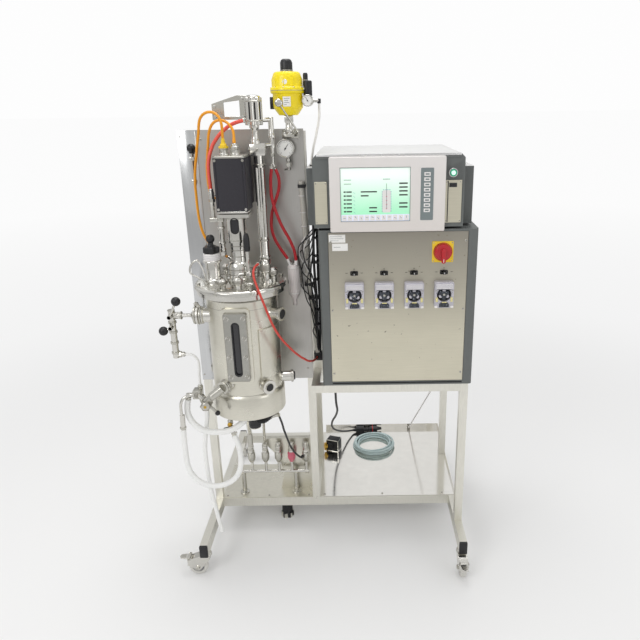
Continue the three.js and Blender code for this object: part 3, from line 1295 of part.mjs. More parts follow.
// Each free cord's route, chosen by hand, from the fitting that it leaves to the one that it ends in.
const CORDS = {
  white_hose_a: { diameter: 22, finish: SILICONE, route: [
    [-624, -75, 748], [-629, -76, 726], [-630, -78, 703], [-625, -81, 680], [-614, -84, 659],
    [-598, -86, 642], [-579, -89, 630], [-558, -92, 624], [-535, -94, 622], [-512, -94, 623],
    [-490, -94, 626], [-468, -93, 633], [-449, -90, 644], [-434, -87, 655], [-420, -83, 667]] },
  white_hose_b: { diameter: 20, finish: SILICONE, route: [
    [-645, -103, 640], [-646, -105, 600], [-646, -105, 560], [-646, -105, 520], [-642, -105, 480],
    [-627, -104, 443], [-600, -104, 415], [-564, -103, 400], [-526, -103, 401], [-490, -102, 416],
    [-463, -102, 444], [-449, -100, 482], [-447, -95, 522], [-454, -85, 562], [-468, -76, 598]] },
  white_hose_c: { diameter: 16, finish: SILICONE, route: [
    [-562, -66, 702.7], [-564, -66, 671], [-569, -66, 640], [-575, -66, 608], [-580, -66, 577],
    [-584, -66, 545], [-585, -66, 513], [-585, -66, 482], [-584, -66, 450], [-583, -66, 418],
    [-581, -66, 386], [-578, -66, 354], [-575, -66, 323], [-571, -66, 291], [-566, -66, 260],
    [-562, -66, 228], [-557, -66, 197], [-553, -66, 165]] },
  inlet_hose: { diameter: 9.5, finish: SILICONE, route: [
    [-617.7, -60, 918], [-608, -60, 918], [-598, -60, 916], [-589, -60, 910], [-582, -60, 902],
    [-578, -60, 893], [-576, -60, 883], [-576, -60, 872], [-576, -60, 861], [-577, -60, 851],
    [-578, -61, 841], [-578, -61, 831], [-578, -61, 821], [-578, -62, 810], [-578, -62, 800.3]] },
  orange_cable_1: { diameter: 9, finish: ORANGE, route: [
    [-434, -7, 1638.3], [-433, -10, 1659], [-432, -14, 1679], [-434, -13, 1700], [-443, -8, 1719],
    [-459, -3, 1730], [-478, 2, 1731], [-496, 7, 1723], [-508, 12, 1708], [-514, 17, 1688],
    [-518, 23, 1669], [-523, 27, 1649], [-528, 31, 1630], [-533, 35, 1610], [-537, 38, 1590],
    [-542, 41, 1570], [-546, 44, 1550], [-549, 46, 1530], [-551, 48, 1509], [-553, 49, 1489],
    [-553, 50, 1468], [-553, 50, 1447], [-553, 50, 1427], [-552, 49, 1406], [-551, 48, 1385],
    [-548, 46, 1365], [-544, 44, 1345], [-538, 43, 1325], [-529, 41, 1307], [-516, 39, 1291],
    [-500, 37, 1277], [-484, 32, 1266], [-468, 23, 1257], [-452.5, 12, 1250.2]] },
  orange_cable_2: { diameter: 9, finish: ORANGE, route: [
    [-398, -7, 1638.3], [-398, -3, 1657], [-401, 2, 1675], [-411, 6, 1691], [-425, 9, 1702],
    [-442, 12, 1706], [-459, 15, 1702], [-473, 19, 1690], [-482, 23, 1673], [-488, 27, 1654],
    [-491, 31, 1635], [-495, 35, 1616], [-499, 39, 1597], [-502, 42, 1579], [-506, 46, 1560],
    [-508, 51, 1542], [-510, 56, 1523], [-511, 62, 1505], [-512, 69, 1487], [-512, 79, 1470],
    [-512, 91, 1456], [-512, 107, 1445], [-512, 126, 1439], [-512, 145, 1438]] },
  coral_hose: { diameter: 12, finish: CORAL, route: [
    [-490, 4, 1488.3], [-491, 4, 1507], [-492, 5, 1525], [-492, 6, 1544], [-492, 8, 1562],
    [-490, 11, 1580], [-486, 14, 1598], [-480, 18, 1615], [-473, 22, 1631], [-463, 27, 1646],
    [-452, 31, 1660], [-438, 35, 1673], [-424, 38, 1684], [-408, 41, 1693], [-391, 44, 1699],
    [-373, 47, 1703]] },
  red_hose_1: { diameter: 11, finish: DARK_RED, route: [
    [-294.2, 87.9, 1541.7], [-297, 85, 1522], [-299, 82, 1502], [-299, 79, 1482], [-299, 77, 1462],
    [-297, 75, 1443], [-293, 74, 1423], [-288, 74, 1404], [-282, 75, 1385], [-276, 77, 1366],
    [-269, 80, 1347], [-261, 83, 1329], [-252, 86, 1311], [-244, 90, 1293], [-237, 93, 1274],
    [-231, 96, 1255], [-228, 99, 1236], [-226, 100, 1216]] },
  red_hose_2: { diameter: 11, finish: DARK_RED, route: [
    [-280.8, 87.9, 1541.7], [-274, 90, 1523], [-271, 92, 1504], [-272, 94, 1484], [-276, 94, 1464],
    [-283, 94, 1445], [-290, 94, 1427], [-297, 94, 1408], [-303, 95, 1389], [-306, 96, 1370],
    [-308, 97, 1350], [-307, 98, 1330], [-303, 98, 1310], [-297, 99, 1291], [-288, 100, 1273],
    [-278, 100, 1256], [-267, 100, 1239], [-256.3, 100, 1222.5]] },
  thin_red_hose: { diameter: 8, finish: CORAL, route: [
    [-336.3, -78.3, 1246], [-344, -97, 1242], [-347, -115, 1230], [-344, -129, 1213],
    [-337, -141, 1196], [-329, -152, 1179], [-321, -162, 1161], [-313, -168, 1142], [-306, -170, 1122],
    [-300, -169, 1101], [-293, -168, 1080], [-286, -166, 1060], [-278, -163, 1040], [-269, -158, 1020],
    [-260, -150, 1002], [-251, -141, 985], [-242, -130, 969], [-234, -117, 953], [-227, -103, 938],
    [-220, -88, 924], [-213, -72, 910], [-206, -57, 897], [-199, -40, 885], [-193, -23, 873],
    [-188, -5, 862], [-183, 15, 853], [-179, 34, 845], [-175, 54, 838], [-172, 75, 832],
    [-169, 96, 826], [-166, 117, 821], [-165, 138, 818]] },
  air_line: { diameter: 8, finish: SILICONE, route: [
    [-124, 114, 1753.7], [-124, 114, 1739], [-124, 114, 1724], [-125, 113, 1709], [-127, 112, 1695],
    [-130, 111, 1680], [-134, 110, 1666], [-137, 110, 1651], [-141, 111, 1637], [-145, 113, 1623],
    [-149, 115, 1608], [-152, 118, 1594], [-155, 122, 1580], [-157, 126, 1566], [-158, 128, 1551.3]] },
  black_lead: { diameter: 8, finish: BLACK, route: [
    [-301, -58.6, 667.7], [-300, -43, 649], [-298, -29, 629], [-297, -14, 609], [-296, -2, 588],
    [-295, 11, 567], [-293, 24, 547], [-291, 37, 526], [-289, 50, 505], [-287, 64, 485],
    [-285, 77, 465], [-282, 91, 444], [-278, 105, 425], [-273, 119, 405], [-268, 134, 387],
    [-263, 151, 369], [-258, 168, 353], [-253.2, 186.6, 336.6]] },
  tray_lead: { diameter: 9, finish: BLACK, route: [
    [-95, 60, 752.7], [-95, 64, 717], [-95, 73, 682], [-95, 88, 650], [-94, 109, 620], [-93, 134, 594],
    [-94, 162, 570], [-97, 191, 546], [-101, 219, 523], [-106, 246, 500], [-112, 274, 477],
    [-119, 301, 454], [-124, 329, 431], [-127, 358, 409], [-130, 387, 387], [-132, 416, 366],
    [-133, 445, 344], [-132, 473, 322], [-130, 502, 299], [-126, 531, 278], [-119, 561, 257],
    [-108, 590, 236], [-95, 619, 217], [-80, 650, 199], [-63, 682, 182], [-39.8, 715.8, 167]] },
};

function cords() {
  add('cable_loom', cableLoom(), BLACK);
  add('tray_plug', trayPlug(), BLACK);
  add('hose_coil', hoseCoil(), TEAL);
  for (const [name, { diameter, finish, route }] of Object.entries(CORDS)) {
    add(name, tube(route, diameter / 2), finish);
  }
}

// ---------------------------------------------------------------- assembly

trolley();
castors();
lowerCabinet();
upperCabinet();
vessel();
piping();
cords();

/** Centre the object's box, without its free cords, over the origin, with the floor at Z = 0. */
const free = [...Object.keys(CORDS), 'hose_coil', 'tray_plug'];
bench.updateMatrixWorld(true);
const bounds = new THREE.Box3();
bench.traverse((piece) => {
  if (piece.isMesh && !free.includes(piece.name)) bounds.union(new THREE.Box3().setFromObject(piece, true));
});
const middle = bounds.getCenter(new THREE.Vector3());
bench.position.set(-middle.x, -middle.y, -bounds.min.z);

export default bench;
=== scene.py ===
"""Looks of the bench bioreactor. Points are in bench millimetres: Z = 0 is the floor, Y = 0 the front of the
cabinet and X runs along the trolley. at() takes them to the row frame, in metres."""
import math

import bmesh
import bpy
from mathutils import Matrix, Vector


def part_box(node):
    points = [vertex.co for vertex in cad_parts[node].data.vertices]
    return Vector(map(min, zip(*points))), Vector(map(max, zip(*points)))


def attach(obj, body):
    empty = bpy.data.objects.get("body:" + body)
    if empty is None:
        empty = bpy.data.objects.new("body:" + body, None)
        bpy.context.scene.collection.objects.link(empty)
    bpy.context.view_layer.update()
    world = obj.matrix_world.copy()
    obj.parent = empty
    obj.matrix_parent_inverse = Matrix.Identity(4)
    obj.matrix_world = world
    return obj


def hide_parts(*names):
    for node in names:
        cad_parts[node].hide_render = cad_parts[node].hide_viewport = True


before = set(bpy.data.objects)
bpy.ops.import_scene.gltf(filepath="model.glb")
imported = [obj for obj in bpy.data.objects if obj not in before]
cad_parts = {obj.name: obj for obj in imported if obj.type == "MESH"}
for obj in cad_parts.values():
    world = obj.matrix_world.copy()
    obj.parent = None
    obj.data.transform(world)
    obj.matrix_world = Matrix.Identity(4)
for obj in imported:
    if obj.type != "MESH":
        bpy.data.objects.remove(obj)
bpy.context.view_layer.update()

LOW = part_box("lower_cabinet_shell")[0]
SHIFT = Vector((LOW.x + .137, LOW.y, 0))
UP, FRONT, RIGHT = (0, 0, 1), (0, -1, 0), (1, 0, 0)


def at(x, y, z):
    """A bench point, in millimetres, as a point of the row frame, in metres."""
    return Vector((x, y, z)) / 1000 + SHIFT


# ---------------------------------------------------------------- camera

# Fitted to the photograph: the eye in bench millimetres, the pitch downward in degrees, the roll in radians.
EYE, PITCH, ROLL = (0, -2077, 1737), 19.135, -.0147
LENS, SHIFT_X = 34.37, -.0609


def camera():
    data = bpy.data.cameras.new("camera")
    data.sensor_width = 36
    data.lens, data.shift_x = LENS, SHIFT_X
    data.clip_start, data.clip_end = .05, 200
    eye = bpy.data.objects.new("camera", data)
    bpy.context.collection.objects.link(eye)
    tilt = Matrix.Rotation(math.radians(90 - PITCH), 4, "X")
    eye.matrix_world = Matrix.Translation(at(*EYE)) @ tilt @ Matrix.Rotation(ROLL, 4, "Z")
    bpy.context.scene.camera = eye


# ---------------------------------------------------------------- finishes

def rgb(code, alpha=1):
    """A colour written as in a paint programme, as linear values."""
    values = [int(code[i:i + 2], 16) / 255 for i in (0, 2, 4)]
    return [v / 12.92 if v <= .04045 else ((v + .055) / 1.055) ** 2.4 for v in values] + [alpha]


def tinted(colour, share):
    """The colour made lighter or darker by a share."""
    return [min(1, max(0, c * (1 + share))) for c in colour[:3]] + [1]


def finish(name, code, rough=.4, metal=0., grain=(60, 60, 60), vary=.06, rough_vary=.08, bump=.02,
           bump_scale=900, edge_tint=0., fade=None, specks=None, **sockets):
    """A procedural material. grain is how many features there are in a metre along each axis, vary and
    rough_vary how far they change the colour and the roughness, and bump how deep the fine relief is.
    fade = (low, high, colour) runs to another colour between two heights, in metres, and specks = (colour,
    scale, share) scatters small spots."""
    made = bpy.data.materials.new(name)
    made.use_nodes = True
    tree = made.node_tree
    nodes, links = tree.nodes, tree.links
    shader = nodes["Principled BSDF"]
    place = nodes.new("ShaderNodeTexCoord").outputs["Object"]

    def noise(scale, detail, stretch=(1, 1, 1)):
        mapping = nodes.new("ShaderNodeMapping")
        mapping.inputs["Scale"].default_value = stretch
        links.new(place, mapping.inputs["Vector"])
        texture = nodes.new("ShaderNodeTexNoise")
        texture.inputs["Scale"].default_value = scale
        texture.inputs["Detail"].default_value = detail
        links.new(mapping.outputs["Vector"], texture.inputs["Vector"])
        return texture.outputs["Fac"]

    def ramp(value, stops):
        node = nodes.new("ShaderNodeValToRGB")
        for element, (position, colour) in zip(node.color_ramp.elements, stops):
            element.position, element.color = position, colour
        links.new(value, node.inputs["Fac"])
        return node.outputs["Color"]

    def mixed(share, first, second, blend="MIX"):
        node = nodes.new("ShaderNodeMix")
        node.data_type, node.blend_type = "RGBA", blend
        for socket, value in ((node.inputs["Factor"], share), (node.inputs[6], first),
                              (node.inputs[7], second)):
            if isinstance(value, (float, int, list)):
                socket.default_value = value
            else:
                links.new(value, socket)
        return node.outputs[2]

    def between(value, low, high):
        node = nodes.new("ShaderNodeMapRange")
        node.inputs["To Min"].default_value, node.inputs["To Max"].default_value = low, high
        node.inputs["From Min"].default_value, node.inputs["From Max"].default_value = .3, .7
        links.new(value, node.inputs["Value"])
        return node.outputs["Result"]

    colour = rgb(code)
    streaks = noise(1, 4, grain)
    clouds = noise(7, 3)
    shade = ramp(streaks, [(.3, tinted(colour, -vary)), (.7, tinted(colour, vary))])
    shade = mixed(between(clouds, 0, .5), shade, tinted(colour, -1.5 * vary))
    if fade:
        low, high, other = fade
        split = nodes.new("ShaderNodeSeparateXYZ")
        links.new(place, split.inputs["Vector"])
        height = nodes.new("ShaderNodeMapRange")
        height.inputs["From Min"].default_value, height.inputs["From Max"].default_value = low, high
        links.new(split.outputs["Z"], height.inputs["Value"])
        shade = mixed(height.outputs["Result"], shade, rgb(other))
    if specks:
        other, scale, share = specks
        spots = ramp(noise(scale, 2), [(share, [0, 0, 0, 1]), (share + .03, [1, 1, 1, 1])])
        shade = mixed(spots, shade, rgb(other))
    # Sharp outer edges, found by pointiness, get a lighter tint of the colour.
    if edge_tint:
        edge = nodes.new("ShaderNodeNewGeometry").outputs["Pointiness"]
        shade = mixed(ramp(edge, [(.505, [0, 0, 0, 1]), (.55, [edge_tint, edge_tint, edge_tint, 1])]), shade,
                      tinted(colour, .9))
    links.new(shade, shader.inputs["Base Color"])
    links.new(between(clouds, max(.02, rough - rough_vary), rough + rough_vary), shader.inputs["Roughness"])
    relief = nodes.new("ShaderNodeBump")
    relief.inputs["Strength"].default_value = bump
    relief.inputs["Distance"].default_value = .001
    links.new(noise(bump_scale, 2, [g / max(grain) for g in grain]), relief.inputs["Height"])
    links.new(relief.outputs["Normal"], shader.inputs["Normal"])
    shader.inputs["Metallic"].default_value = metal
    for socket, value in sockets.items():
        shader.inputs[socket.replace("_", " ")].default_value = value
    return made


STEEL = finish("brushed_steel", "C4C2BA", .26, 1, (120, 120, 900), .07, .1, .05)
BRIGHT = finish("bright_steel", "D6D4CE", .17, 1, (200, 200, 200), .05, .08, .02)
TUBE = finish("frame_steel", "E4E2D9", .36, 1, (240, 240, 30), .05, .1, .05)
VESSEL = finish("vessel_steel", "D9D6CA", .31, 1, (60, 60, 700), .06, .08, .06)
PANEL = finish("panel_sheet", "BCBAB6", .34, 1, (500, 60, 14), .05, .07, .04)
MIRROR = finish("polished_strip", "C9CACB", .16, 1, (200, 60, 10), .04, .05, .02)
TRAY = finish("tray_sheet", "EDEBE6", .13, 1, (30, 30, 30), .03, .03, .002)
DULL = finish("dull_steel", "A9A69E", .42, 1, (200, 200, 200), .12, .1, .1)
# The brushed plate runs darker grey-brown towards its top: a painted reflection.
PLATE = finish("brushed_plate", "D6D1BE", .36, .85, (14, 60, 900), .05, .06, .05,
               fade=(.95, 1.36, "9B968C"), specks=("948E80", 60, .73))
SIDE_PLATE = finish("side_plate", "D3CEBB", .4, .8, (14, 60, 700), .05, .06, .05)
CHARCOAL = finish("charcoal_paint", "5A5D5C", .5, 0, (90, 90, 90), .06, .06, .12, 1500, edge_tint=.35)
TRIM = finish("silver_trim", "D8D8D8", .25, 1, (8, 300, 300), .05, .08, .02)
BLACK = finish("black_plastic", "1D1D20", .42, 0, (90, 90, 90), .15, .1, .08, 1800)
RUBBER = finish("black_rubber", "232325", .62, 0, (140, 140, 140), .15, .06, .12, 1600)
MOTOR = finish("motor_black", "2B2930", .5, .1, (300, 300, 300), .1, .08, .3, 1200,
               specks=("4C4954", 320, .69))
# Near black, painted as shade into screw sockets, wells, slots, seams and gaps.
PAINTED_SHADE = finish("painted_shade", "121214", .6, 0, (60, 60, 60), .1, .05, .02)
WHITE = finish("white_plastic", "EFECEA", .4, 0, (50, 50, 50), .02, .06, .03, 1400)
# The bezel runs darker towards the bottom: painted shade.
BEZEL = finish("bezel_white", "EAE6E4", .35, 0, (20, 20, 20), .02, .05, .02, 900,
               fade=(1.62, 1.2, "DDD6D0"))
KEYPAD = finish("keypad_grey", "7D8788", .45, 0, (200, 200, 200), .05, .06, .05, 1500)
LILAC = finish("pump_frame", "C6C4CC", .35, .3, (120, 120, 120), .06, .08, .04)
SMOKE = finish("smoked_cover", "3A3E46", .22, .1, (160, 160, 160), .5, .08, .1, 300,
               specks=("8A909C", 210, .62))
CREAM = finish("clip_cream", "E6DC9A", .4, 0, (80, 80, 80), .06, .06, .03)
RED = finish("knob_red", "BC1C27", .35, 0, (60, 60, 60), .06, .08, .05, 1500, Coat_Weight=.2)
YELLOW = finish("plate_yellow", "F4CF2C", .4, 0, (60, 60, 60), .05, .06, .04, 1500)
ACTUATOR = finish("actuator_yellow", "FBE010", .38, 0, (70, 70, 70), .05, .08, .12, 700, edge_tint=.1,
                  Coat_Weight=.15)
GREEN = finish("button_green", "26A37C", .3, 0, (60, 60, 60), .05, .05, .02,
               Emission_Color=rgb("1FA87B"), Emission_Strength=.25)
GLOW = finish("button_lit", "DFFBEF", .3, 0, (60, 60, 60), .03, .05, .02,
              Emission_Color=rgb("D8FFF0"), Emission_Strength=.35)
BRASS = finish("brass", "C9A24A", .3, 1, (200, 200, 200), .1, .1, .05)
COPPER_TAG = finish("valve_rose", "DE6C80", .45, 0, (60, 60, 60), .1, .08, .08)
GREEN_GRIP = finish("grip_green", "1F4438", .5, 0, (100, 100, 100), .12, .08, .08)
SILICONE = finish("white_silicone", "F6F6F4", .3, 0, (40, 40, 40), .02, .08, .04, 500)
AIR = finish("white_air_line", "EDEBE6", .4, 0, (40, 40, 40), .03, .06, .03, 500)
ORANGE = finish("orange_sheath", "F0A11E", .4, 0, (200, 200, 200), .07, .06, .1, 1200)
CORAL = finish("coral_rubber", "EE5E50", .42, 0, (160, 160, 160), .07, .07, .1, 1200)
THIN_RED = finish("thin_red_hose", "CC4438", .4, 0, (160, 160, 160), .07, .07, .1, 1200)
RED_HOSE = finish("red_rubber", "C0222C", .38, 0, (160, 160, 160), .09, .08, .1, 1100)
BLACK_LEAD = finish("black_sheath", "1E1F21", .42, 0, (200, 200, 200), .12, .1, .08, 1300)
TEAL = finish("teal_hose", "C0D2D2", .35, 0, (120, 120, 120), .06, .08, .06, 900)
TRUNK = finish("cable_trunk", "D9D6CC", .5, 0, (160, 160, 160), .08, .08, .2, 500)
WHEEL = finish("wheel_grey", "D6D4CE", .5, 0, (120, 120, 120), .06, .08, .06, 900)
HUB = finish("hub_grey", "9C9DA0", .4, 0, (120, 120, 120), .06, .08, .04)
DIAL = finish("dial_white", "F1F0EC", .3, 0, (40, 40, 40), .02, .05, .01)
INK = finish("printed_ink", "2B2C2E", .45, 0, (200, 200, 200), .1, .05, .02)
LABEL = finish("paper_label", "F4F3F0", .5, 0, (200, 200, 200), .03, .05, .05, 900)
CAPSULE = finish("filter_shell", "E2DAD8", .3, 0, (60, 60, 60), .05, .08, .05)
ROOF = finish("pale_roof", "D2D2D1", .34, 0, (6, 300, 30), .02, .05, .01)
FRAME = finish("sight_frame", "A9A8A2", .3, 1, (200, 200, 200), .06, .08, .04)
GLASS = finish("sight_glass_dark", "16161E", .12, 0, (40, 40, 40), .25, .04, .02, Coat_Weight=.6)
SCREEN = finish("screen", "9CEEBE", .2, 0, (12, 12, 12), .05, .04, 0,
                fade=(1.4, 1.53, "FCFFFD"), Emission_Color=rgb("C8FBDD"), Emission_Strength=.22)
SCREEN_BAR = finish("screen_bar", "E6E9FB", .25, 0, (300, 300, 300), .06, .04, 0,
                    Emission_Color=rgb("E4E8FB"), Emission_Strength=.22)
SCREEN_LINE = finish("screen_line", "5F86B8", .3, 0, (60, 60, 60), .06, .04, 0)


# ---------------------------------------------------------------- shapes

def turn_to(direction):
    """The rotation that takes +Z to a direction."""
    return Vector(direction).to_track_quat("Z", "Y").to_matrix()


def softened(outline, width):
    """The outline with each corner cut off by a width."""
    closed = outline[0] == outline[-1]
    points = [Vector(p) for p in (outline[:-1] if closed else outline)]
    made = []
    for i, here in enumerate(points):
        if not closed and i in (0, len(points) - 1):
            made.append(here)
            continue
        before, after = points[i - 1] - here, points[(i + 1) % len(points)] - here
        if before.length < 1e-6 or after.length < 1e-6 or before.angle(-after) < .4:
            made.append(here)
            continue
        reach = min(width, .4 * before.length, .4 * after.length)
        made += [here + before.normalized() * reach, here + after.normalized() * reach]
    return made + made[:1] if closed else made


def blend(one, two, low, high, s):
    """The point at s on the line that is at one for low, and at two for high."""
    return one * ((high - s) / (high - low)) + two * ((s - low) / (high - low))


def smooth_path(points, steps):
    """Points along a centripetal Catmull-Rom curve through the points."""
    points = [Vector(p) for p in points]
    ends = [2 * points[0] - points[1], *points, 2 * points[-1] - points[-2]]
    made = [points[0]]
    for i in range(1, len(ends) - 2):
        four = ends[i - 1:i + 3]
        t = [0.]
        for a, b in zip(four, four[1:]):
            t.append(t[-1] + max(1e-4, (b - a).length) ** .5)
        for k in range(1, steps + 1):
            s = t[1] + (t[2] - t[1]) * k / steps
            a = [blend(four[j], four[j + 1], t[j], t[j + 1], s) for j in range(3)]
            b = [blend(a[j], a[j + 1], t[j], t[j + 2], s) for j in range(2)]
            made.append(blend(b[0], b[1], t[1], t[2], s))
    return made


def rounded(us, vs, radius, steps=5):
    """The corners of a rectangle with round corners."""
    (u0, u1), (v0, v1) = us, vs
    centres = [(u1 - radius, v0 + radius, -90), (u1 - radius, v1 - radius, 0),
               (u0 + radius, v1 - radius, 90), (u0 + radius, v0 + radius, 180)]
    return [polar(u, v, radius, math.radians(start + 90 * k / steps))
            for u, v, start in centres for k in range(steps + 1)]


def polar(u, v, radius, angle):
    """The point on a circle at an angle, in radians."""
    return u + radius * math.cos(angle), v + radius * math.sin(angle)


def disc(radius, height):
    """The outline of a plain turned disc."""
    return [(0, 0), (radius, 0), (radius, height), (0, height)]


def sleeve(inner, outer, height):
    """The closed outline of a turned sleeve."""
    return [(inner, 0), (outer, 0), (outer, height), (inner, height), (inner, 0)]


def circle(u, v, radius, sides=32):
    return [polar(u, v, radius, 2 * math.pi * k / sides)
            for k in range(sides)]


def span(middle, size):
    return middle - size / 2, middle + size / 2


class Piece:
    """One mesh in the making, in bench millimetres, or in those of a place such as a castor's own axes."""

    def __init__(self, name, body="frame", place=None):
        self.name, self.body, self.place = name, body, place or Matrix()
        self.mesh = bmesh.new()
        self.finishes = []

    def slot(self, material):
        if material not in self.finishes:
            self.finishes.append(material)
        return self.finishes.index(material)

    def faces(self, points, loops, material):
        corners = [self.mesh.verts.new(p) for p in points]
        number = self.slot(material)
        for loop in loops:
            if len(set(loop)) > 2:
                self.mesh.faces.new([corners[i] for i in loop]).material_index = number

    def take(self, other, material):
        """Adds a whole bmesh."""
        other.verts.index_update()
        points = [v.co.copy() for v in other.verts]
        self.faces(points, [[v.index for v in f.verts] for f in other.faces], material)
        other.free()

    def turned(self, base, outline, material, toward=UP, sides=40, soft=.8, arc=None):
        """A solid turned about the line through base, from its [radius, height] outline."""
        outline = softened(outline, soft) if soft else [Vector(p) for p in outline]
        closed = (outline[0] - outline[-1]).length < 1e-6
        if closed:
            outline = outline[:-1]
        axes, base = turn_to(toward), Vector(base)
        start, end = arc or (0, 360)
        count = sides if arc is None else max(4, round(sides * (end - start) / 360))
        angles = [math.radians(start + (end - start) * k / count) for k in range(count + (arc is not None))]
        points, rings = [], []
        for radius, height in outline:
            if radius < 1e-6:
                rings.append([len(points)] * len(angles))
                points.append(base + axes @ Vector((0, 0, height)))
                continue
            rings.append(list(range(len(points), len(points) + len(angles))))
            points += [base + axes @ Vector((radius * math.cos(a), radius * math.sin(a),
                                             height)) for a in angles]
        loops = []
        pairs = list(zip(rings, rings[1:] + rings[:1])) if closed else list(zip(rings, rings[1:]))
        for one, two in pairs:
            for k in range(len(angles) - (arc is not None)):
                j = (k + 1) % len(angles)
                loop = [one[k], one[j], two[j], two[k]]
                loops.append([c for n, c in enumerate(loop) if c not in loop[:n]])
        if arc is not None:
            loops += [[ring[0] for ring in rings], [ring[-1] for ring in reversed(rings)]]
        self.faces(points, loops, material)

    def rod(self, start, end, radius, material, end_radius=None, sides=24, soft=.6):
        start, end = Vector(start), Vector(end)
        run = end - start
        outline = [(0, 0), (radius, 0), (radius if end_radius is None else end_radius, run.length),
                   (0, run.length)]
        self.turned(start, outline, material, run, sides, soft)

    def ball(self, centre, radius, material, sides=24):
        other = bmesh.new()
        bmesh.ops.create_uvsphere(other, u_segments=sides, v_segments=sides // 2, radius=radius)
        bmesh.ops.translate(other, vec=Vector(centre), verts=other.verts)
        self.take(other, material)

    def box(self, xs, ys, zs, material, soft=1., turn=None, steps=2):
        """A box with soft edges; turn = (angle in degrees, axis) about its middle."""
        other = bmesh.new()
        bmesh.ops.create_cube(other, size=1)
        size = Vector((xs[1] - xs[0], ys[1] - ys[0], zs[1] - zs[0]))
        bmesh.ops.scale(other, vec=size, verts=other.verts)
        reach = min(soft, .45 * min(size))
        if reach > 0:
            bmesh.ops.bevel(other, geom=other.edges[:], offset=reach, segments=steps, profile=.5,
                            affect="EDGES")
        move = Matrix.Translation(((xs[0] + xs[1]) / 2, (ys[0] + ys[1]) / 2, (zs[0] + zs[1]) / 2))
        if turn:
            move = move @ Matrix.Rotation(math.radians(turn[0]), 4, turn[1])
        bmesh.ops.transform(other, matrix=move, verts=other.verts)
        self.take(other, material)

    def slab(self, outline, depth, material, plane="XZ", holes=(), soft=.6):
        """A flat outline between two depths, with its rims cut off softly."""
        other = bmesh.new()
        near, far = depth

        def lift(u, v, d):
            return Vector({"XZ": (u, d, v), "XY": (u, v, d)}.get(plane, (d, u, v)))

        edges = []
        for loop in (outline, *holes):
            corners = [other.verts.new(lift(u, v, near)) for u, v in loop]
            edges += [other.edges.new((a, b)) for a, b in zip(corners, corners[1:] + corners[:1])]
        if holes:
            bmesh.ops.triangle_fill(other, edges=edges, use_beauty=True, use_dissolve=True)
        else:
            other.faces.new(other.verts[:])
        flat = other.faces[:]
        made = bmesh.ops.extrude_face_region(other, geom=flat)
        moved = [g for g in made["geom"] if isinstance(g, bmesh.types.BMVert)]
        bmesh.ops.translate(other, vec=lift(0, 0, far) - lift(0, 0, near), verts=moved)
        bmesh.ops.recalc_face_normals(other, faces=other.faces)
        if soft:
            across = Vector(lift(0, 0, 1)).normalized()
            rims = [e for e in other.edges if len(e.link_faces) == 2 and e.calc_face_angle(0) > 1
                    and any(abs(f.normal.dot(across)) > .9 for f in e.link_faces)]
            reach = min(soft, .3 * abs(far - near))
            bmesh.ops.bevel(other, geom=rims, offset=reach, segments=1, affect="EDGES", clamp_overlap=True)
        self.take(other, material)

    def tube(self, points, radius, material, sides=14, steps=6, smooth=True, ends=True):
        """A round tube along a curve through the points; radius may be a function of the share of the way."""
        line = smooth_path(points, steps) if smooth else [Vector(p) for p in points]
        heading = (line[1] - line[0]).normalized()
        side = heading.orthogonal().normalized()
        rings, corners = [], []
        for i, here in enumerate(line):
            ahead = (line[min(i + 1, len(line) - 1)] - line[max(i - 1, 0)]).normalized()
            side = (heading.rotation_difference(ahead) @ side).normalized()
            heading = ahead
            other = heading.cross(side)
            width = radius(i / (len(line) - 1)) if callable(radius) else radius
            rings.append(range(len(corners), len(corners) + sides))
            for k in range(sides):
                a = 2 * math.pi * k / sides
                corners.append(here + width * (math.cos(a) * side + math.sin(a) * other))
        loops = [[one[k], one[(k + 1) % sides], two[(k + 1) % sides], two[k]]
                 for one, two in zip(rings, rings[1:]) for k in range(sides)]
        if ends:
            loops += [list(rings[0])[::-1], list(rings[-1])]
        self.faces(corners, loops, material)
        return line

    def hexagon(self, base, toward, width, height, material, soft=.5):
        """A nut or a bolt head, width across its flats."""
        r = width / math.sqrt(3)
        self.turned(base, disc(r, height), material, toward, 6, soft)

    def screw(self, base, toward, radius, material=STEEL):
        """A round screw head, with painted shade in its socket."""
        self.turned(base, [(0, 0), (radius, 0), (radius, radius * .45), (radius * .75, radius * .6),
                           (radius * .4, radius * .6), (radius * .4, radius * .45), (0, radius * .45)],
                    material, toward, 16, .1)
        self.turned(Vector(base) + Vector(toward).normalized() * (radius * .46),
                    [(0, 0), (radius * .34, 0), (0, .05)], PAINTED_SHADE, toward, 6, 0)

    def done(self, replaces=(), sharp=38):
        """Makes the object, smooth but for its sharp edges, and lets it ride on its body."""
        bmesh.ops.recalc_face_normals(self.mesh, faces=self.mesh.faces)
        for face in self.mesh.faces:
            face.smooth = True
        for edge in self.mesh.edges:
            edge.smooth = len(edge.link_faces) == 2 and edge.calc_face_angle(0) < math.radians(sharp)
        for corner in self.mesh.verts:
            corner.co = at(*(self.place @ corner.co))
        data = bpy.data.meshes.new(self.name)
        self.mesh.to_mesh(data)
        self.mesh.free()
        for material in self.finishes:
            data.materials.append(material)
        made = bpy.data.objects.new(self.name, data)
        bpy.context.collection.objects.link(made)
        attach(made, self.body)
        if replaces:
            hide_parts(*replaces)
        return made


# ---------------------------------------------------------------- CAD nodes that stay

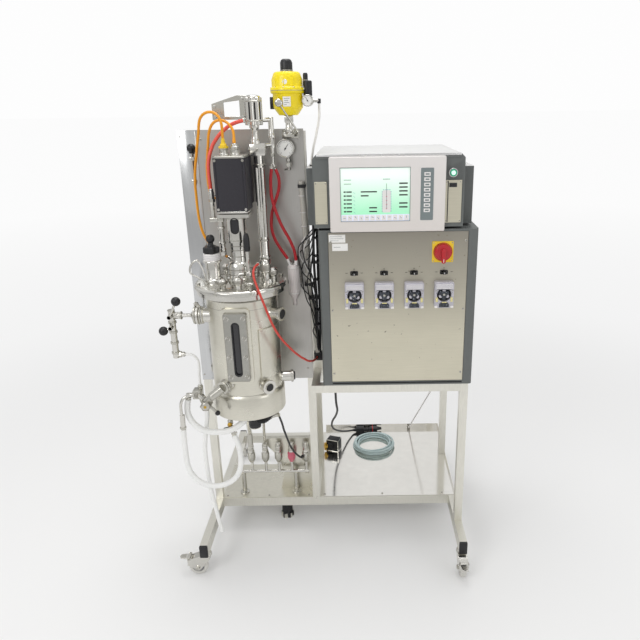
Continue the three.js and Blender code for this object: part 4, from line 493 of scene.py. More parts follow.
def smoother(angle):
    """A node group that shades a mesh smooth but for the edges sharper than an angle."""
    name = f"smooth_to_{angle}"
    if name in bpy.data.node_groups:
        return bpy.data.node_groups[name]
    group = bpy.data.node_groups.new(name, "GeometryNodeTree")
    for direction in ("INPUT", "OUTPUT"):
        group.interface.new_socket("Geometry", in_out=direction, socket_type="NodeSocketGeometry")
    nodes, links = group.nodes, group.links
    first, last = nodes.new("NodeGroupInput"), nodes.new("NodeGroupOutput")
    faces, edges = nodes.new("GeometryNodeSetShadeSmooth"), nodes.new("GeometryNodeSetShadeSmooth")
    edges.domain = "EDGE"
    fold, small = nodes.new("GeometryNodeInputMeshEdgeAngle"), nodes.new("FunctionNodeCompare")
    small.data_type, small.operation = "FLOAT", "LESS_THAN"
    small.inputs[1].default_value = math.radians(angle)
    links.new(fold.outputs["Unsigned Angle"], small.inputs[0])
    links.new(first.outputs[0], faces.inputs["Geometry"])
    links.new(faces.outputs[0], edges.inputs["Geometry"])
    links.new(small.outputs[0], edges.inputs["Shade Smooth"])
    links.new(edges.outputs[0], last.inputs[0])
    return group


def dress(node, material, angle=40, bevel=.8):
    """Gives a CAD node its material, soft edges and smooth rounds."""
    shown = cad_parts[node]
    for place in shown.material_slots:
        place.material = material
    weld = shown.modifiers.new("weld", "WELD")
    weld.merge_threshold = 1e-5
    flat = shown.modifiers.new("flat", "DECIMATE")
    flat.decimate_type, flat.angle_limit = "DISSOLVE", math.radians(.6)
    if bevel:
        soft = shown.modifiers.new("soft", "BEVEL")
        soft.width, soft.segments, soft.limit_method = bevel / 1000, 2, "ANGLE"
        soft.angle_limit, soft.harden_normals = math.radians(max(50, angle)), False
    smooth = shown.modifiers.new("smooth", "NODES")
    smooth.node_group = smoother(angle)
    level = shown.modifiers.new("level", "WEIGHTED_NORMAL")
    level.mode, level.weight, level.keep_sharp = "FACE_AREA", 90, True


# ---------------------------------------------------------------- cords

# Each free cord: its diameter and length in metres, and the points of its route, which are those of the
# part's source.
ROUTES = {
    "white_hose_a": (.022, 0.313, [
        (-624, -75, 748), (-629, -76, 726), (-630, -78, 703), (-625, -81, 680), (-614, -84, 659),
        (-598, -86, 642), (-579, -89, 630), (-558, -92, 624), (-535, -94, 622), (-512, -94, 623),
        (-490, -94, 626), (-468, -93, 633), (-449, -90, 644), (-434, -87, 655), (-420, -83, 667)]),
    "white_hose_b": (.02, 0.558, [
        (-645, -103, 640), (-646, -105, 600), (-646, -105, 560), (-646, -105, 520), (-642, -105, 480),
        (-627, -104, 443), (-600, -104, 415), (-564, -103, 400), (-526, -103, 401), (-490, -102, 416),
        (-463, -102, 444), (-449, -100, 482), (-447, -95, 522), (-454, -85, 562), (-468, -76, 598)]),
    "white_hose_c": (.016, 0.541, [
        (-562, -66, 702.7), (-564, -66, 671), (-569, -66, 640), (-575, -66, 608), (-580, -66, 577),
        (-584, -66, 545), (-585, -66, 513), (-585, -66, 482), (-584, -66, 450), (-583, -66, 418),
        (-581, -66, 386), (-578, -66, 354), (-575, -66, 323), (-571, -66, 291), (-566, -66, 260),
        (-562, -66, 228), (-557, -66, 197), (-553, -66, 165)]),
    "inlet_hose": (.0095, 0.144, [
        (-617.7, -60, 918), (-608, -60, 918), (-598, -60, 916), (-589, -60, 910), (-582, -60, 902),
        (-578, -60, 893), (-576, -60, 883), (-576, -60, 872), (-576, -60, 861), (-577, -60, 851),
        (-578, -61, 841), (-578, -61, 831), (-578, -61, 821), (-578, -62, 810), (-578, -62, 800.3)]),
    "orange_cable_1": (.009, 0.682, [
        (-434, -7, 1638.3), (-433, -10, 1659), (-432, -14, 1679), (-434, -13, 1700), (-443, -8, 1719),
        (-459, -3, 1730), (-478, 2, 1731), (-496, 7, 1723), (-508, 12, 1708), (-514, 17, 1688),
        (-518, 23, 1669), (-523, 27, 1649), (-528, 31, 1630), (-533, 35, 1610), (-537, 38, 1590),
        (-542, 41, 1570), (-546, 44, 1550), (-549, 46, 1530), (-551, 48, 1509), (-553, 49, 1489),
        (-553, 50, 1468), (-553, 50, 1447), (-553, 50, 1427), (-552, 49, 1406), (-551, 48, 1385),
        (-548, 46, 1365), (-544, 44, 1345), (-538, 43, 1325), (-529, 41, 1307), (-516, 39, 1291),
        (-500, 37, 1277), (-484, 32, 1266), (-468, 23, 1257), (-452.5, 12, 1250.2)]),
    "orange_cable_2": (.009, 0.442, [
        (-398, -7, 1638.3), (-398, -3, 1657), (-401, 2, 1675), (-411, 6, 1691), (-425, 9, 1702),
        (-442, 12, 1706), (-459, 15, 1702), (-473, 19, 1690), (-482, 23, 1673), (-488, 27, 1654),
        (-491, 31, 1635), (-495, 35, 1616), (-499, 39, 1597), (-502, 42, 1579), (-506, 46, 1560),
        (-508, 51, 1542), (-510, 56, 1523), (-511, 62, 1505), (-512, 69, 1487), (-512, 79, 1470),
        (-512, 91, 1456), (-512, 107, 1445), (-512, 126, 1439), (-512, 145, 1438)]),
    "coral_hose": (.012, 0.278, [
        (-490, 4, 1488.3), (-491, 4, 1507), (-492, 5, 1525), (-492, 6, 1544), (-492, 8, 1562),
        (-490, 11, 1580), (-486, 14, 1598), (-480, 18, 1615), (-473, 22, 1631), (-463, 27, 1646),
        (-452, 31, 1660), (-438, 35, 1673), (-424, 38, 1684), (-408, 41, 1693), (-391, 44, 1699),
        (-373, 47, 1703)]),
    "red_hose_1": (.011, 0.341, [
        (-294.2, 87.9, 1541.7), (-297, 85, 1522), (-299, 82, 1502), (-299, 79, 1482), (-299, 77, 1462),
        (-297, 75, 1443), (-293, 74, 1423), (-288, 74, 1404), (-282, 75, 1385), (-276, 77, 1366),
        (-269, 80, 1347), (-261, 83, 1329), (-252, 86, 1311), (-244, 90, 1293), (-237, 93, 1274),
        (-231, 96, 1255), (-228, 99, 1236), (-226, 100, 1216)]),
    "red_hose_2": (.011, 0.339, [
        (-280.8, 87.9, 1541.7), (-274, 90, 1523), (-271, 92, 1504), (-272, 94, 1484), (-276, 94, 1464),
        (-283, 94, 1445), (-290, 94, 1427), (-297, 94, 1408), (-303, 95, 1389), (-306, 96, 1370),
        (-308, 97, 1350), (-307, 98, 1330), (-303, 98, 1310), (-297, 99, 1291), (-288, 100, 1273),
        (-278, 100, 1256), (-267, 100, 1239), (-256.3, 100, 1222.5)]),
    "thin_red_hose": (.008, 0.674, [
        (-336.3, -78.3, 1246), (-344, -97, 1242), (-347, -115, 1230), (-344, -129, 1213), (-337, -141, 1196),
        (-329, -152, 1179), (-321, -162, 1161), (-313, -168, 1142), (-306, -170, 1122), (-300, -169, 1101),
        (-293, -168, 1080), (-286, -166, 1060), (-278, -163, 1040), (-269, -158, 1020), (-260, -150, 1002),
        (-251, -141, 985), (-242, -130, 969), (-234, -117, 953), (-227, -103, 938), (-220, -88, 924),
        (-213, -72, 910), (-206, -57, 897), (-199, -40, 885), (-193, -23, 873), (-188, -5, 862),
        (-183, 15, 853), (-179, 34, 845), (-175, 54, 838), (-172, 75, 832), (-169, 96, 826),
        (-166, 117, 821), (-165, 138, 818)]),
    "air_line": (.008, 0.208, [
        (-124, 114, 1753.7), (-124, 114, 1739), (-124, 114, 1724), (-125, 113, 1709), (-127, 112, 1695),
        (-130, 111, 1680), (-134, 110, 1666), (-137, 110, 1651), (-141, 111, 1637), (-145, 113, 1623),
        (-149, 115, 1608), (-152, 118, 1594), (-155, 122, 1580), (-157, 126, 1566), (-158, 128, 1551.3)]),
    "black_lead": (.008, 0.417, [
        (-301, -58.6, 667.7), (-300, -43, 649), (-298, -29, 629), (-297, -14, 609), (-296, -2, 588),
        (-295, 11, 567), (-293, 24, 547), (-291, 37, 526), (-289, 50, 505), (-287, 64, 485), (-285, 77, 465),
        (-282, 91, 444), (-278, 105, 425), (-273, 119, 405), (-268, 134, 387), (-263, 151, 369),
        (-258, 168, 353), (-253.2, 186.6, 336.6)]),
    "tray_lead": (.009, 0.925, [
        (-95, 60, 752.7), (-95, 64, 717), (-95, 73, 682), (-95, 88, 650), (-94, 109, 620), (-93, 134, 594),
        (-94, 162, 570), (-97, 191, 546), (-101, 219, 523), (-106, 246, 500), (-112, 274, 477),
        (-119, 301, 454), (-124, 329, 431), (-127, 358, 409), (-130, 387, 387), (-132, 416, 366),
        (-133, 445, 344), (-132, 473, 322), (-130, 502, 299), (-126, 531, 278), (-119, 561, 257),
        (-108, 590, 236), (-95, 619, 217), (-80, 650, 199), (-63, 682, 182), (-39.8, 715.8, 167)]),
}


def cord(name, material, sides=14):
    """A free cord as one tube along its route."""
    diameter, length, points = ROUTES[name]
    line = smooth_path(points, 2)
    piece = Piece(f"{name}_look")
    piece.tube(line, 500 * diameter, material, sides, 1, False)
    made = piece.done(replaces=[name])
    path = [at(*p) for p in line]
    return made


def hose_coil():
    """Eight loose turns of hose on the tray, with both of their ends in the coil."""
    turns, each = 8, 30
    base, (x, y) = 152.6 + 4.2, (64, 585)
    lanes = [(77, 0, 0, 0), (86, 0, 3, -2), (95, 0, -3, 2), (97, 8.6, 2, 3), (89, 8.4, -4, -2),
             (81, 8.6, 3, 1), (84, 17, -3, 3), (93, 17, 2, -3)]
    line = []
    for k in range(turns * each + 1):
        turn, share = divmod(k, each)
        share /= each
        here, after = lanes[min(turn, turns - 1)], lanes[min(turn + 1, turns - 1)]
        ease = max(0, (share - .7) / .3)
        ease = ease * ease * (3 - 2 * ease)
        radius, lift, dx, dy = (a + (b - a) * ease for a, b in zip(here, after))
        angle = math.radians(-70) + 2 * math.pi * share
        radius += 1.2 * math.sin(2 * angle + turn)
        line.append(Vector((x + dx + radius * math.cos(angle), y + dy + radius * math.sin(angle),
                            base + lift + (.6 * math.sin(3 * angle) + .6 if turn > 2 else 0))))
    piece = Piece("hose_coil_look")
    piece.tube(line, 4, TEAL, 12, 1, False)
    made = piece.done(replaces=["hose_coil"])


def tray_plug():
    """The plugs that the cable from the cabinet ends in."""
    z = 152.6
    piece = Piece("tray_plug_look")
    piece.tube([(-39.6, 716, 167), (-30, 720, 165.5), (-20, 722.5, 164.2)], lambda s: 5 + 4 * s, RUBBER)
    piece.rod((-24, 722, z + 11), (54, 728, z + 11), 9.6, RUBBER)
    for k in range(5):
        piece.rod((-18 + 4 * k, 722.4 + .3 * k, z + 11), (-16 + 4 * k, 722.6 + .3 * k, z + 11), 10, RUBBER)
    piece.box((-22, 18), (706, 740), (z, z + 28), BLACK, 3)
    piece.box((-20, 16), (708, 738), (z + 27, z + 28.4), RUBBER, .5)
    piece.box((46, 86), (712, 740), (z, z + 24), BLACK, 3)
    piece.box((60, 64), (711, 741), (z + 1, z + 24.6), RED, .6)
    piece.rod((84, 730, z + 12), (107, 735, z + 12), 7.8, RUBBER, 6)
    return piece.done(["tray_plug"])


def cords():
    plug = tray_plug()
    cord("white_hose_a", SILICONE, sides=20)
    cord("white_hose_b", SILICONE, sides=20)
    cord("white_hose_c", SILICONE, 18)
    cord("inlet_hose", SILICONE)
    cord("orange_cable_1", ORANGE)
    cord("orange_cable_2", ORANGE)
    cord("coral_hose", CORAL)
    cord("red_hose_1", RED_HOSE)
    cord("red_hose_2", RED_HOSE)
    cord("thin_red_hose", THIN_RED)
    cord("air_line", AIR)
    cord("black_lead", BLACK_LEAD)
    cord("tray_lead", BLACK_LEAD)
    hose_coil()


def cable_loom():
    """The trunk and the cables strapped to the middle post, with their ties."""
    piece = Piece("cable_loom_look")
    trunk = [(-200, 150, 1492), (-196, 150, 1400), (-192, 150, 1300), (-189, 150, 1200), (-186, 148, 1110),
             (-174, 144, 1030), (-167, 144, 950), (-165, 148, 880), (-164, 152, 826)]
    left = [(-157, 78, 1349.7), (-157, 78, 1338), (-160, 88, 1260), (-161, 102, 1180), (-158, 110, 1100),
            (-157, 116, 1010), (-160, 130, 910), (-161, 152, 826)]
    right = [(-147, 100, 1349.7), (-147, 100, 1338), (-147, 108, 1250), (-149, 118, 1160), (-147, 122, 1060),
             (-148, 128, 980), (-151, 140, 900), (-154, 154, 826)]
    piece.tube(trunk, 9.6, TRUNK, 16, 8)
    for turn in range(3):
        a = 2.1 * turn
        off = Vector((4.6 * math.cos(a), 4.6 * math.sin(a), 0))
        piece.tube([Vector(p) + off for p in trunk], 6.2, TRUNK, 12, 8)
    for line, radius in ((left, 5), (right, 5)):
        piece.tube(line, radius, BLACK_LEAD, 12, 8)
    wires = [(-196, 70, 1300, 1150), (-214, 96, 1284, 1120), (-178, 60, 1240, 1080), (-206, 120, 1210, 1010),
             (-186, 84, 1170, 980), (-220, 110, 1250, 1060), (-170, 66, 1130, 930)]
    for k, (x, y, high, low) in enumerate(wires):
        line = [(-152 - k % 3, 84 + 3 * k, 1336), (-162 - 2 * k, 82 + 3 * k, high + 30), (x, y, high - 20),
                (x + 8, y + 14, low + 50), (-170 - k, 118, low), (-158, 140, 880), (-158, 150, 840)]
        piece.tube(line, 2.1, BLACK_LEAD, 8, 7)
    for k, (x, y) in enumerate(((-200, 112), (-184, 96))):
        piece.tube([(-160, 100, 1320), (x, y, 1286), (x - 14, y - 8, 1240), (x + 2, y + 6, 1196),
                    (-166, 128, 1130)], 2,
                   WHITE, 8, 7)
    for z in (1440, 1380, 1330, 1262, 1190, 1150):
        piece.turned((-202 + (1492 - z) * .04, 150, z), sleeve(10, 12, 4), WHITE, UP, 24, .3)
    for z, x, y in ((1300, -153, 89), (1232, -155, 98), (1140, -154, 112), (1020, -153, 119),
                    (960, -155, 126)):
        piece.box(span(x, 24), span(y, 34), span(z, 4), BLACK, 1)
    for xs, ys, z, height in (((-212, -184), (138, 161.7), 1476, 12), ((-202, -170), (138, 161.7), 1112, 12),
                              ((-172, -142), (96, 120), 1206, 8), ((-188, -142), (108, 152), 1066, 8)):
        piece.box(xs, ys, span(z, height), BLACK, 1.2)
    piece.box((-178, -144), (140, 169.7), (802, 834), BLACK, 2)
    # Dark discs on the box at the foot of the loom, painted shade in its holes.
    for k in range(3):
        piece.rod((-171 + 9 * k, 141, 818), (-171 + 9 * k, 136.5, 818), 2.6, PAINTED_SHADE)
    piece.rod((-165, 138.6, 817.5), (-165, 146, 816.5), 5.8, RUBBER)
    piece.done(["cable_loom"])


# ---------------------------------------------------------------- trolley

FEET = (-613, 390)


def trolley():
    dress("trolley_frame", TUBE, 40, 1.6)
    dress("base_tray", TRAY, 40, .5)
    dress("base_plate", VESSEL, 62, .4)
    ends = Piece("foot_end_caps")
    for x in FEET:
        for y, way in ((-140, -1), (760, 1)):
            ends.box(span(x, 30.6), sorted((y + 2.4 * way, y - 9 * way)), (99.8, 150.3), RUBBER, 1.4)
            ends.box(span(x, 22), sorted((y + 3 * way, y)), (106, 144), BLACK, 1)
    ends.done()

    pad = Piece("support_foot")
    lobes = [(-335 + (25.6 + 2.6 * math.cos(6 * a)) * math.cos(a),
              252 + (25.6 + 2.6 * math.cos(6 * a)) * math.sin(a))
             for a in (2 * math.pi * k / 72 for k in range(72))]
    pad.slab(lobes, (.1, 22.4), RUBBER, "XY", soft=2)
    pad.turned((-335, 252, 22), [(0, 0), (14, 0), (10, 4), (9.4, 84), (0, 84)], BLACK)
    pad.turned((-335, 252, 105.6), disc(18.2, 34.6), BLACK, sides=12)
    pad.turned((-335, 252, 20), disc(22, 119), RUBBER, sides=24)
    for z in range(28, 130, 12):
        pad.turned((-335, 252, z), [(21, 0), (23.4, 1), (23.4, 5), (21, 6), (21, 0)], BLACK, sides=24, soft=0)
    pad.done()

    supply = Piece("supply_block")
    x, y, z = -132, 560, 152.3
    supply.box(span(x, 62.4), span(y, 46.4), (z, z + 59.2), BLACK, 3, (-20, "Z"))
    supply.box(span(x, 56), span(y, 40), (z + 59, z + 60), RUBBER, .5, (-20, "Z"))
    supply.box((x - 26, x - 2), (y - 32, y - 8), (z + 12, z + 44), RUBBER, 1.5, (-20, "Z"))
    supply.rod((x - 24, y - 14, z + 25), (x - 46, y - 22, z + 25), 9.3, BRASS)
    supply.hexagon((x - 30, y - 16.2, z + 25), (-22, -8, 0), 17, 7, BRASS)
    supply.rod((x - 40, y - 20, z + 8), (x - 40, y - 20, z + 45.4), 6.2, BRASS)
    supply.hexagon((x - 40, y - 20, z + 36), UP, 13, 6, BRASS)
    supply.ball((x - 40, y - 20, z + 12), 6.6, BRASS)
    supply.done()

    stay = Piece("rear_stay")
    stay.rod((382, 266, 758.4), (251, 748, 161), 3.4, WHITE, sides=14)
    stay.box(span(382, 14), span(266, 14), (753, 759), DULL, 1)
    stay.box(span(251, 14), span(750, 10), (152.4, 170), DULL, 1)
    stay.done()

    screws = Piece("sheet_screws")
    for x in (-160, 90, 350):
        screws.screw((x, 186, 152.3), UP, 4.5)
    for x in (-580, -400, -228):
        screws.screw((x, 184, 152.3), UP, 4.5)
    screws.done()


def manifold():
    """Bar with its five valves, finer than the solid that it covers."""
    piece = Piece("valve_manifold")
    y, z = 214, 255
    piece.rod((-526, y, z), (-228, y, z), 7.2, BRIGHT, sides=28)
    piece.hexagon((-241.5, y, z), RIGHT, 20, 15, BRIGHT)
    piece.rod((-227, y, z), (-224, y, z), 8, BRIGHT)
    for i, x in enumerate((-470, -410, -354, -298, -236)):
        top = 446 if i == 0 else 392
        body = COPPER_TAG if i == 3 else STEEL
        piece.turned((x, y, 0), [(0, z), (6.2, z), (6.2, 307), (0, 307)], BRIGHT, sides=24)
        piece.turned((x, y, 0), [(0, 304), (9, 304), (16.4, 321.6), (16.4, 346.4), (11.2, 352.4), (0, 352.4)],
                     body)
        piece.hexagon((x, y, 352), UP, 24, 10, BRIGHT, 1)
        piece.hexagon((x, y, 312), UP, 25, 9, DULL, 1)
        piece.turned((x, y, 0), [(0, 360), (11.3, 360), (11.3, top - 8), (9, top + .3), (0, top + .3)], STEEL)
        piece.turned((x, y, 0), [(9, 376), (12.4, 376), (12.4, 381), (9, 381), (9, 376)], BRIGHT)
        for a in range(6):
            angle = math.radians(60 * a + 15)
            piece.screw((*polar(x, y, 13, angle), 346.2), UP, 2)
    for x, drain_x, drain_y, top, radius in ((-470, -446, 62, 440, 9), (-410, -376, 40, 394, 5)):
        piece.tube([(drain_x, drain_y, 692), (drain_x, drain_y, 662), (drain_x, drain_y, 650),
                    (drain_x + (x - drain_x) * .3, drain_y + (y - drain_y) * .3, 650 - (650 - top) * .3),
                    (x, y, top)], radius + .5, BRIGHT, 20)
    for x in (-510, -284):
        piece.turned((x, y, 152), [(0, 0), (20.3, 0), (20.3, 4.6), (9.4, 6), (9.4, 96), (0, 96)], STEEL,
                     sides=28)
        for a in (45, 135, 225, 315):
            piece.screw((*polar(x, y, 15, math.radians(a)), 156.6), UP, 2.4)
    piece.turned((-253.2, 186.6, 336.6), [(0, 2), (7, 2), (7, 20), (4, 26), (0, 26)], RUBBER, (.25, .9, -.2))
    piece.done()


# ---------------------------------------------------------------- castors

def castor_place(x, y, turn):
    return Matrix.Translation((x, y, 0)) @ Matrix.Rotation(math.radians(turn), 4, "Z")


def castors():
    corners = [("front_left", -613, -105, 0, True), ("front_right", 390, -105, 90, True),
               ("rear_left", -613, 725, -90, False), ("rear_right", 390, 725, -90, False)]
    for name, x, y, turn, braked in corners:
        place = castor_place(x, y, turn)
        dress(f"castor_fork_{name}", BRIGHT, 45, .5)
        wheel = Piece(f"castor_wheel_{name}_look", f"castor_wheel_{name}", place)
        hub = [(5.5, -11.6), (12, -11.6), (12, -9), (24, -6.5), (24, 6.5), (12, 9), (12, 11.6), (5.5, 11.6),
               (5.5, -11.6)]
        tread = [(23, -11.4), (30, -11.9), (35.5, -9.5), (37.4, -4), (37.4, 4), (35.5, 9.5), (30, 11.9),
                 (23, 11.4), (23, -11.4)]
        wheel.turned((-34, 0, 37.5), hub, HUB, FRONT, 40, .5)
        wheel.turned((-34, 0, 37.5), tread, WHEEL, FRONT, 56, .5)
        for a in range(6):
            angle = math.radians(60 * a)
            for side in (-1, 1):
                wheel.rod((-34 + 17 * math.cos(angle), side * 6, 37.5 + 17 * math.sin(angle)),
                          (-34 + 17 * math.cos(angle), side * 8.4, 37.5 + 17 * math.sin(angle)), 2, WHEEL,
                          sides=10)
        wheel.done([f"castor_wheel_{name}"])
        fork = Piece(f"castor_fittings_{name}", f"castor_fork_{name}", place)
        for side in (-1, 1):
            fork.hexagon((-34, side * 17.4, 37.5), (0, side, 0), 15, 5.5, STEEL, .8)
            fork.turned((-34, side * 17.2, 37.5), disc(10.5, 1.4), BRIGHT, (0, side, 0))
        fork.turned((0, 0, 84), [(0, 0), (18, 0), (21, 3), (21, 8), (18, 15.5), (0, 15.5)], BRIGHT)
        fork.turned((0, 0, 84), [(19, 4.5), (21.6, 4.5), (21.6, 6.3), (19, 6.3), (19, 4.5)], DULL)
        if braked:
            for side in (-1, 1):
                fork.rod((-67, side * 17.2, 78), (-67, side * 19, 78), 4.6, DULL, sides=20)
        fork.done()
        if braked:
            dress(f"brake_pedal_{name}", BRIGHT, 45, .6)
            grip = Piece(f"brake_grip_{name}", f"brake_pedal_{name}", place)
            for k in range(4):
                grip.box((-84 - 5 * k, -82 - 5 * k), span(0, 20 - 2 * k), (79.6, 81), DULL, .4)
            grip.done()


# ---------------------------------------------------------------- panel

def dial(piece, centre, radius, front, tilt, toward=FRONT, rim=BRIGHT):
    """Face, marks and needle of a round gauge that looks to the front; rim is not used."""
    x, y, z = centre
    piece.turned((x, front, z), disc(radius - 2, .6), DIAL, toward, 48, .1)
    for k in range(21):
        a = math.radians(225 - 13.5 * k)
        long = .17 if k % 5 == 0 else .09
        for share, width in ((.84 - long / 2, long),):
            middle = Vector((x + share * radius * math.cos(a), front - .9, z + share * radius * math.sin(a)))
            piece.box(span(middle.x, width * radius), span(middle.y, .5), span(middle.z, .035 * radius), INK,
                      0, (-math.degrees(a), "Y"))
    a = math.radians(tilt)
    tip = Vector((x + .68 * radius * math.cos(a), front - 1.6, z + .68 * radius * math.sin(a)))
    tail = Vector((x - .24 * radius * math.cos(a), front - 1.6, z - .24 * radius * math.sin(a)))
    piece.rod(tail, tip, .045 * radius, INK, .02 * radius, 8, 0)
    piece.turned((x, front - .4, z), disc(.1 * radius, 2), INK, toward, 20, .3)


def back_panel():
    dress("back_panel", PANEL, 40, .8)
    strip = Piece("panel_strip")
    strip.box((-628.2, -561.8), (159.6, 162.4), (718.4, 1671.6), MIRROR, .6)
    strip.box((-566, -563), (158.9, 160), (724, 1668), PANEL, .3)
    for z in (740, 1200, 1650):
        strip.screw((-620, 159.7, z), FRONT, 3.2)
    for z in (760, 1640):
        for x in (-548, -206):
            strip.screw((x, 162, z), FRONT, 4)
    strip.done()

    handle = Piece("panel_handle")
    handle.rod((-580, 146, 1486), (-580, 146, 1600), 5.3, BRIGHT)
    handle.ball((-580, 146, 1612), 15.2, BLACK, 32)
    handle.turned((-580, 146, 1594), disc(8, 6), BLACK)
    for z in (1498, 1576):
        handle.box(span(-580, 16), (141, 162), span(z, 12), BRIGHT, 1.5)
        handle.screw((-580, 141, z), FRONT, 3)
    handle.rod((-512, 146.5, 1438.2), (-512, 162.4, 1437.6), 8.4, RUBBER)
    handle.done()

    gauge = Piece("pressure_gauge")
    x, y, z = -246, 126, 1608
    gauge.turned((x, y, z), [(0, -14.2), (29, -14.2), (31.3, -11), (31.3, 14.4), (27.6, 14.4), (27.6, 11.3),
                             (0, 11.3)],
                 BRIGHT, FRONT, 56, 1)
    dial(gauge, (x, y, z), 28.4, y - 11.4, 55)
    gauge.rod((x + 8, y + 4, z - 28), (x + 8, y + 4, z - 74.3), 6.4, BRIGHT)
    gauge.hexagon((x + 8, y + 4, z - 44), UP, 16, 9, BRIGHT)
    gauge.box(span(x + 8, 20.6), span(y + 4, 16.6), (z - 64.3, z - 47.7), DULL, 2)
    gauge.turned((x + 8, y - 4, z - 56), [(0, 0), (5, 0), (5, 5), (7, 6), (7, 9), (0, 9)], BRIGHT, FRONT)
    gauge.tube([(x + 8, y + 4, z - 68), (x + 2, y - 1, z - 70), (x - 8, y - 10, z - 72)], 3.4, BRIGHT)
    gauge.rod((x, y + 10, z), (x, 162.5, z), 9.3, BRIGHT)
    gauge.done()

    shell = Piece("filter_capsule")
    x, y, r = -238, 108, 20.4
    shell.turned((x, y, 0), [(0, 1042.8), (7.3, 1042.8), (7.3, 1064), (r, 1088), (r, 1192), (14.4, 1200.3),
                             (0, 1200.3)],
                 CAPSULE, sides=44, soft=2)
    for z in (1090, 1187):
        shell.turned((x, y, z), sleeve(r - 2, r + .9, 4), WHITE, sides=44)
    for k in range(18):
        a = 2 * math.pi * k / 18
        shell.box(span(x + (r + .2) * math.cos(a), 1.2), span(y + (r + .2) * math.sin(a), 1.2), (1096, 1184),
                  WHITE, .3, (math.degrees(a), "Z"))
    shell.box((x - 24.2, x + 24.2), (y - 4, 162.4), (1125.4, 1139.6), BRIGHT, 1)
    shell.rod((-226.1, 100, 1215.5), (-227, 100.4, 1199), 6.3, WHITE)
    shell.rod((-256, 100, 1221.8), (-247, 101.5, 1196), 6.3, WHITE)
    shell.done()


# ---------------------------------------------------------------- cabinets

PUMPS = (-14.5, 90.5, 195.5, 300.5)
PUMP_Z, SELECTOR_Z = 1113, 1189


def pump(piece, x):
    """A pump head: frame with its rotor well, flip cover, tube clips and foot."""
    z = 1112
    piece.slab(rounded(span(x, 68), span(z, 94), 6), (-23.9, 3), LILAC, holes=[circle(x, PUMP_Z, 25.2, 40)],
               soft=1.4)
    # The back of the rotor well is a near-black disc, painted shade.
    piece.turned((x, -1.9, PUMP_Z), disc(25.6, 1), PAINTED_SHADE, FRONT)
    piece.slab(rounded(span(x, 66.4), (1135, 1156.2), 4), (-31, 2), LILAC, soft=1.6)
    for k in range(4):
        piece.box(span(x, 58), (-31.7, -30), span(1138.5 + 4.6 * k, 1.7), WHITE, .5)
    piece.box(span(x, 50), (-27, -23), (1132.5, 1135.5), SMOKE, .6)
    piece.slab([(x - 17, 1068.8), (x + 17, 1068.8), (x + 17, 1080), (x + 12, 1085.2), (x - 12, 1085.2),
                (x - 17, 1080)],
               (-29, 2), SMOKE, soft=1.2)
    for side in (-1, 1):
        piece.box(span(x + side * 26, 7.4), (-28.2, -10), span(1096, 15.4), CREAM, 1.2)
        piece.box(span(x + side * 26.5, 9), (-25.4, -10), span(1082, 8), LILAC, 1)
        piece.box(span(x + side * 28, 11), (-27, -18), (1065.4, 1073), WHITE, 1.5)
        piece.screw((x + side * 29, -24, 1128), FRONT, 2.3)
    piece.box(span(x, 17), (-30.2, -28), span(1087.4, 3.4), CREAM, .7)
    for a in range(20, 161, 20):
        c, s = math.cos(math.radians(a)), math.sin(math.radians(a))
        piece.rod((x + 27.4 * c, -24.6, PUMP_Z + 20 * s), (x + 30 * c, -24.6, PUMP_Z + 22 * s), 1, SMOKE,
                  sides=8)


def front_plate():
    piece = Piece("front_plate_look")
    holes = [circle(x, SELECTOR_Z, 8, 24) for x in PUMPS]
    piece.slab([(-102.8, 773.2), (381.8, 773.2), (381.8, 1333.8), (-102.8, 1333.8)], (2, 5), PLATE,
               holes=holes, soft=.8)
    for x in (-94, 373):
        for share in (.06, .5, .94):
            piece.screw((x, 2, 773 + share * 561), FRONT, 4.2)
    for x in PUMPS:
        pump(piece, x)
        piece.slab(rounded(span(x, 27), span(SELECTOR_Z, 15), 2), (-1.4, 2.4), BLACK,
                   holes=[rounded(span(x, 18.4), span(SELECTOR_Z, 9), 3)], soft=.6)
        for side in (-1, 1):
            piece.box(span(x + side * 27, 8), (1.6, 2.2), span(1190, 1.6), INK, 0)
        piece.slab([(x - 2.2, 1203), (x + 2.2, 1203), (x, 1207)], (1.6, 2.2), INK, soft=0)
    for xs, zs in (((-100, -43), (1299, 1327)), ((-89, -35), (1270, 1296))):
        piece.box(xs, (1.2, 2.6), zs, LABEL, .4)
    for k in range(3):
        piece.box((-95, -95 + (40, 46, 28)[k]), (1, 1.6), span(1320 - 7 * k, 1), KEYPAD, 0)
    piece.box((-84, -60), (1, 1.6), span(1283, 1.2), KEYPAD, 0)
    for z in (776, 790, 805):
        piece.box((240, 300), (1.7, 2.1), span(z + 8, .8), SIDE_PLATE, 0)
    for k in range(10):
        a = 2.4 * k
        reach = 4 + 1.6 * k
        piece.turned((208 + reach * math.cos(a), 2, 1256 + reach * math.sin(a)),
                     disc(1.3, .3), DULL, FRONT, 12, .1)
    x, z = 294, 1262
    piece.slab(rounded(span(x, 74), span(z, 74), 3), (-1, 4), YELLOW, holes=[circle(x, z, 8, 24)], soft=1.2)
    piece.turned((x, -1, z), sleeve(30.6, 33, .8), RED, FRONT, 48, .3)
    for side in (-1, 1):
        for rise in (-1, 1):
            piece.screw((x + 32 * side, -1, z + 32 * rise), FRONT, 2.2)
    piece.done(["cabinet_front_plate"])


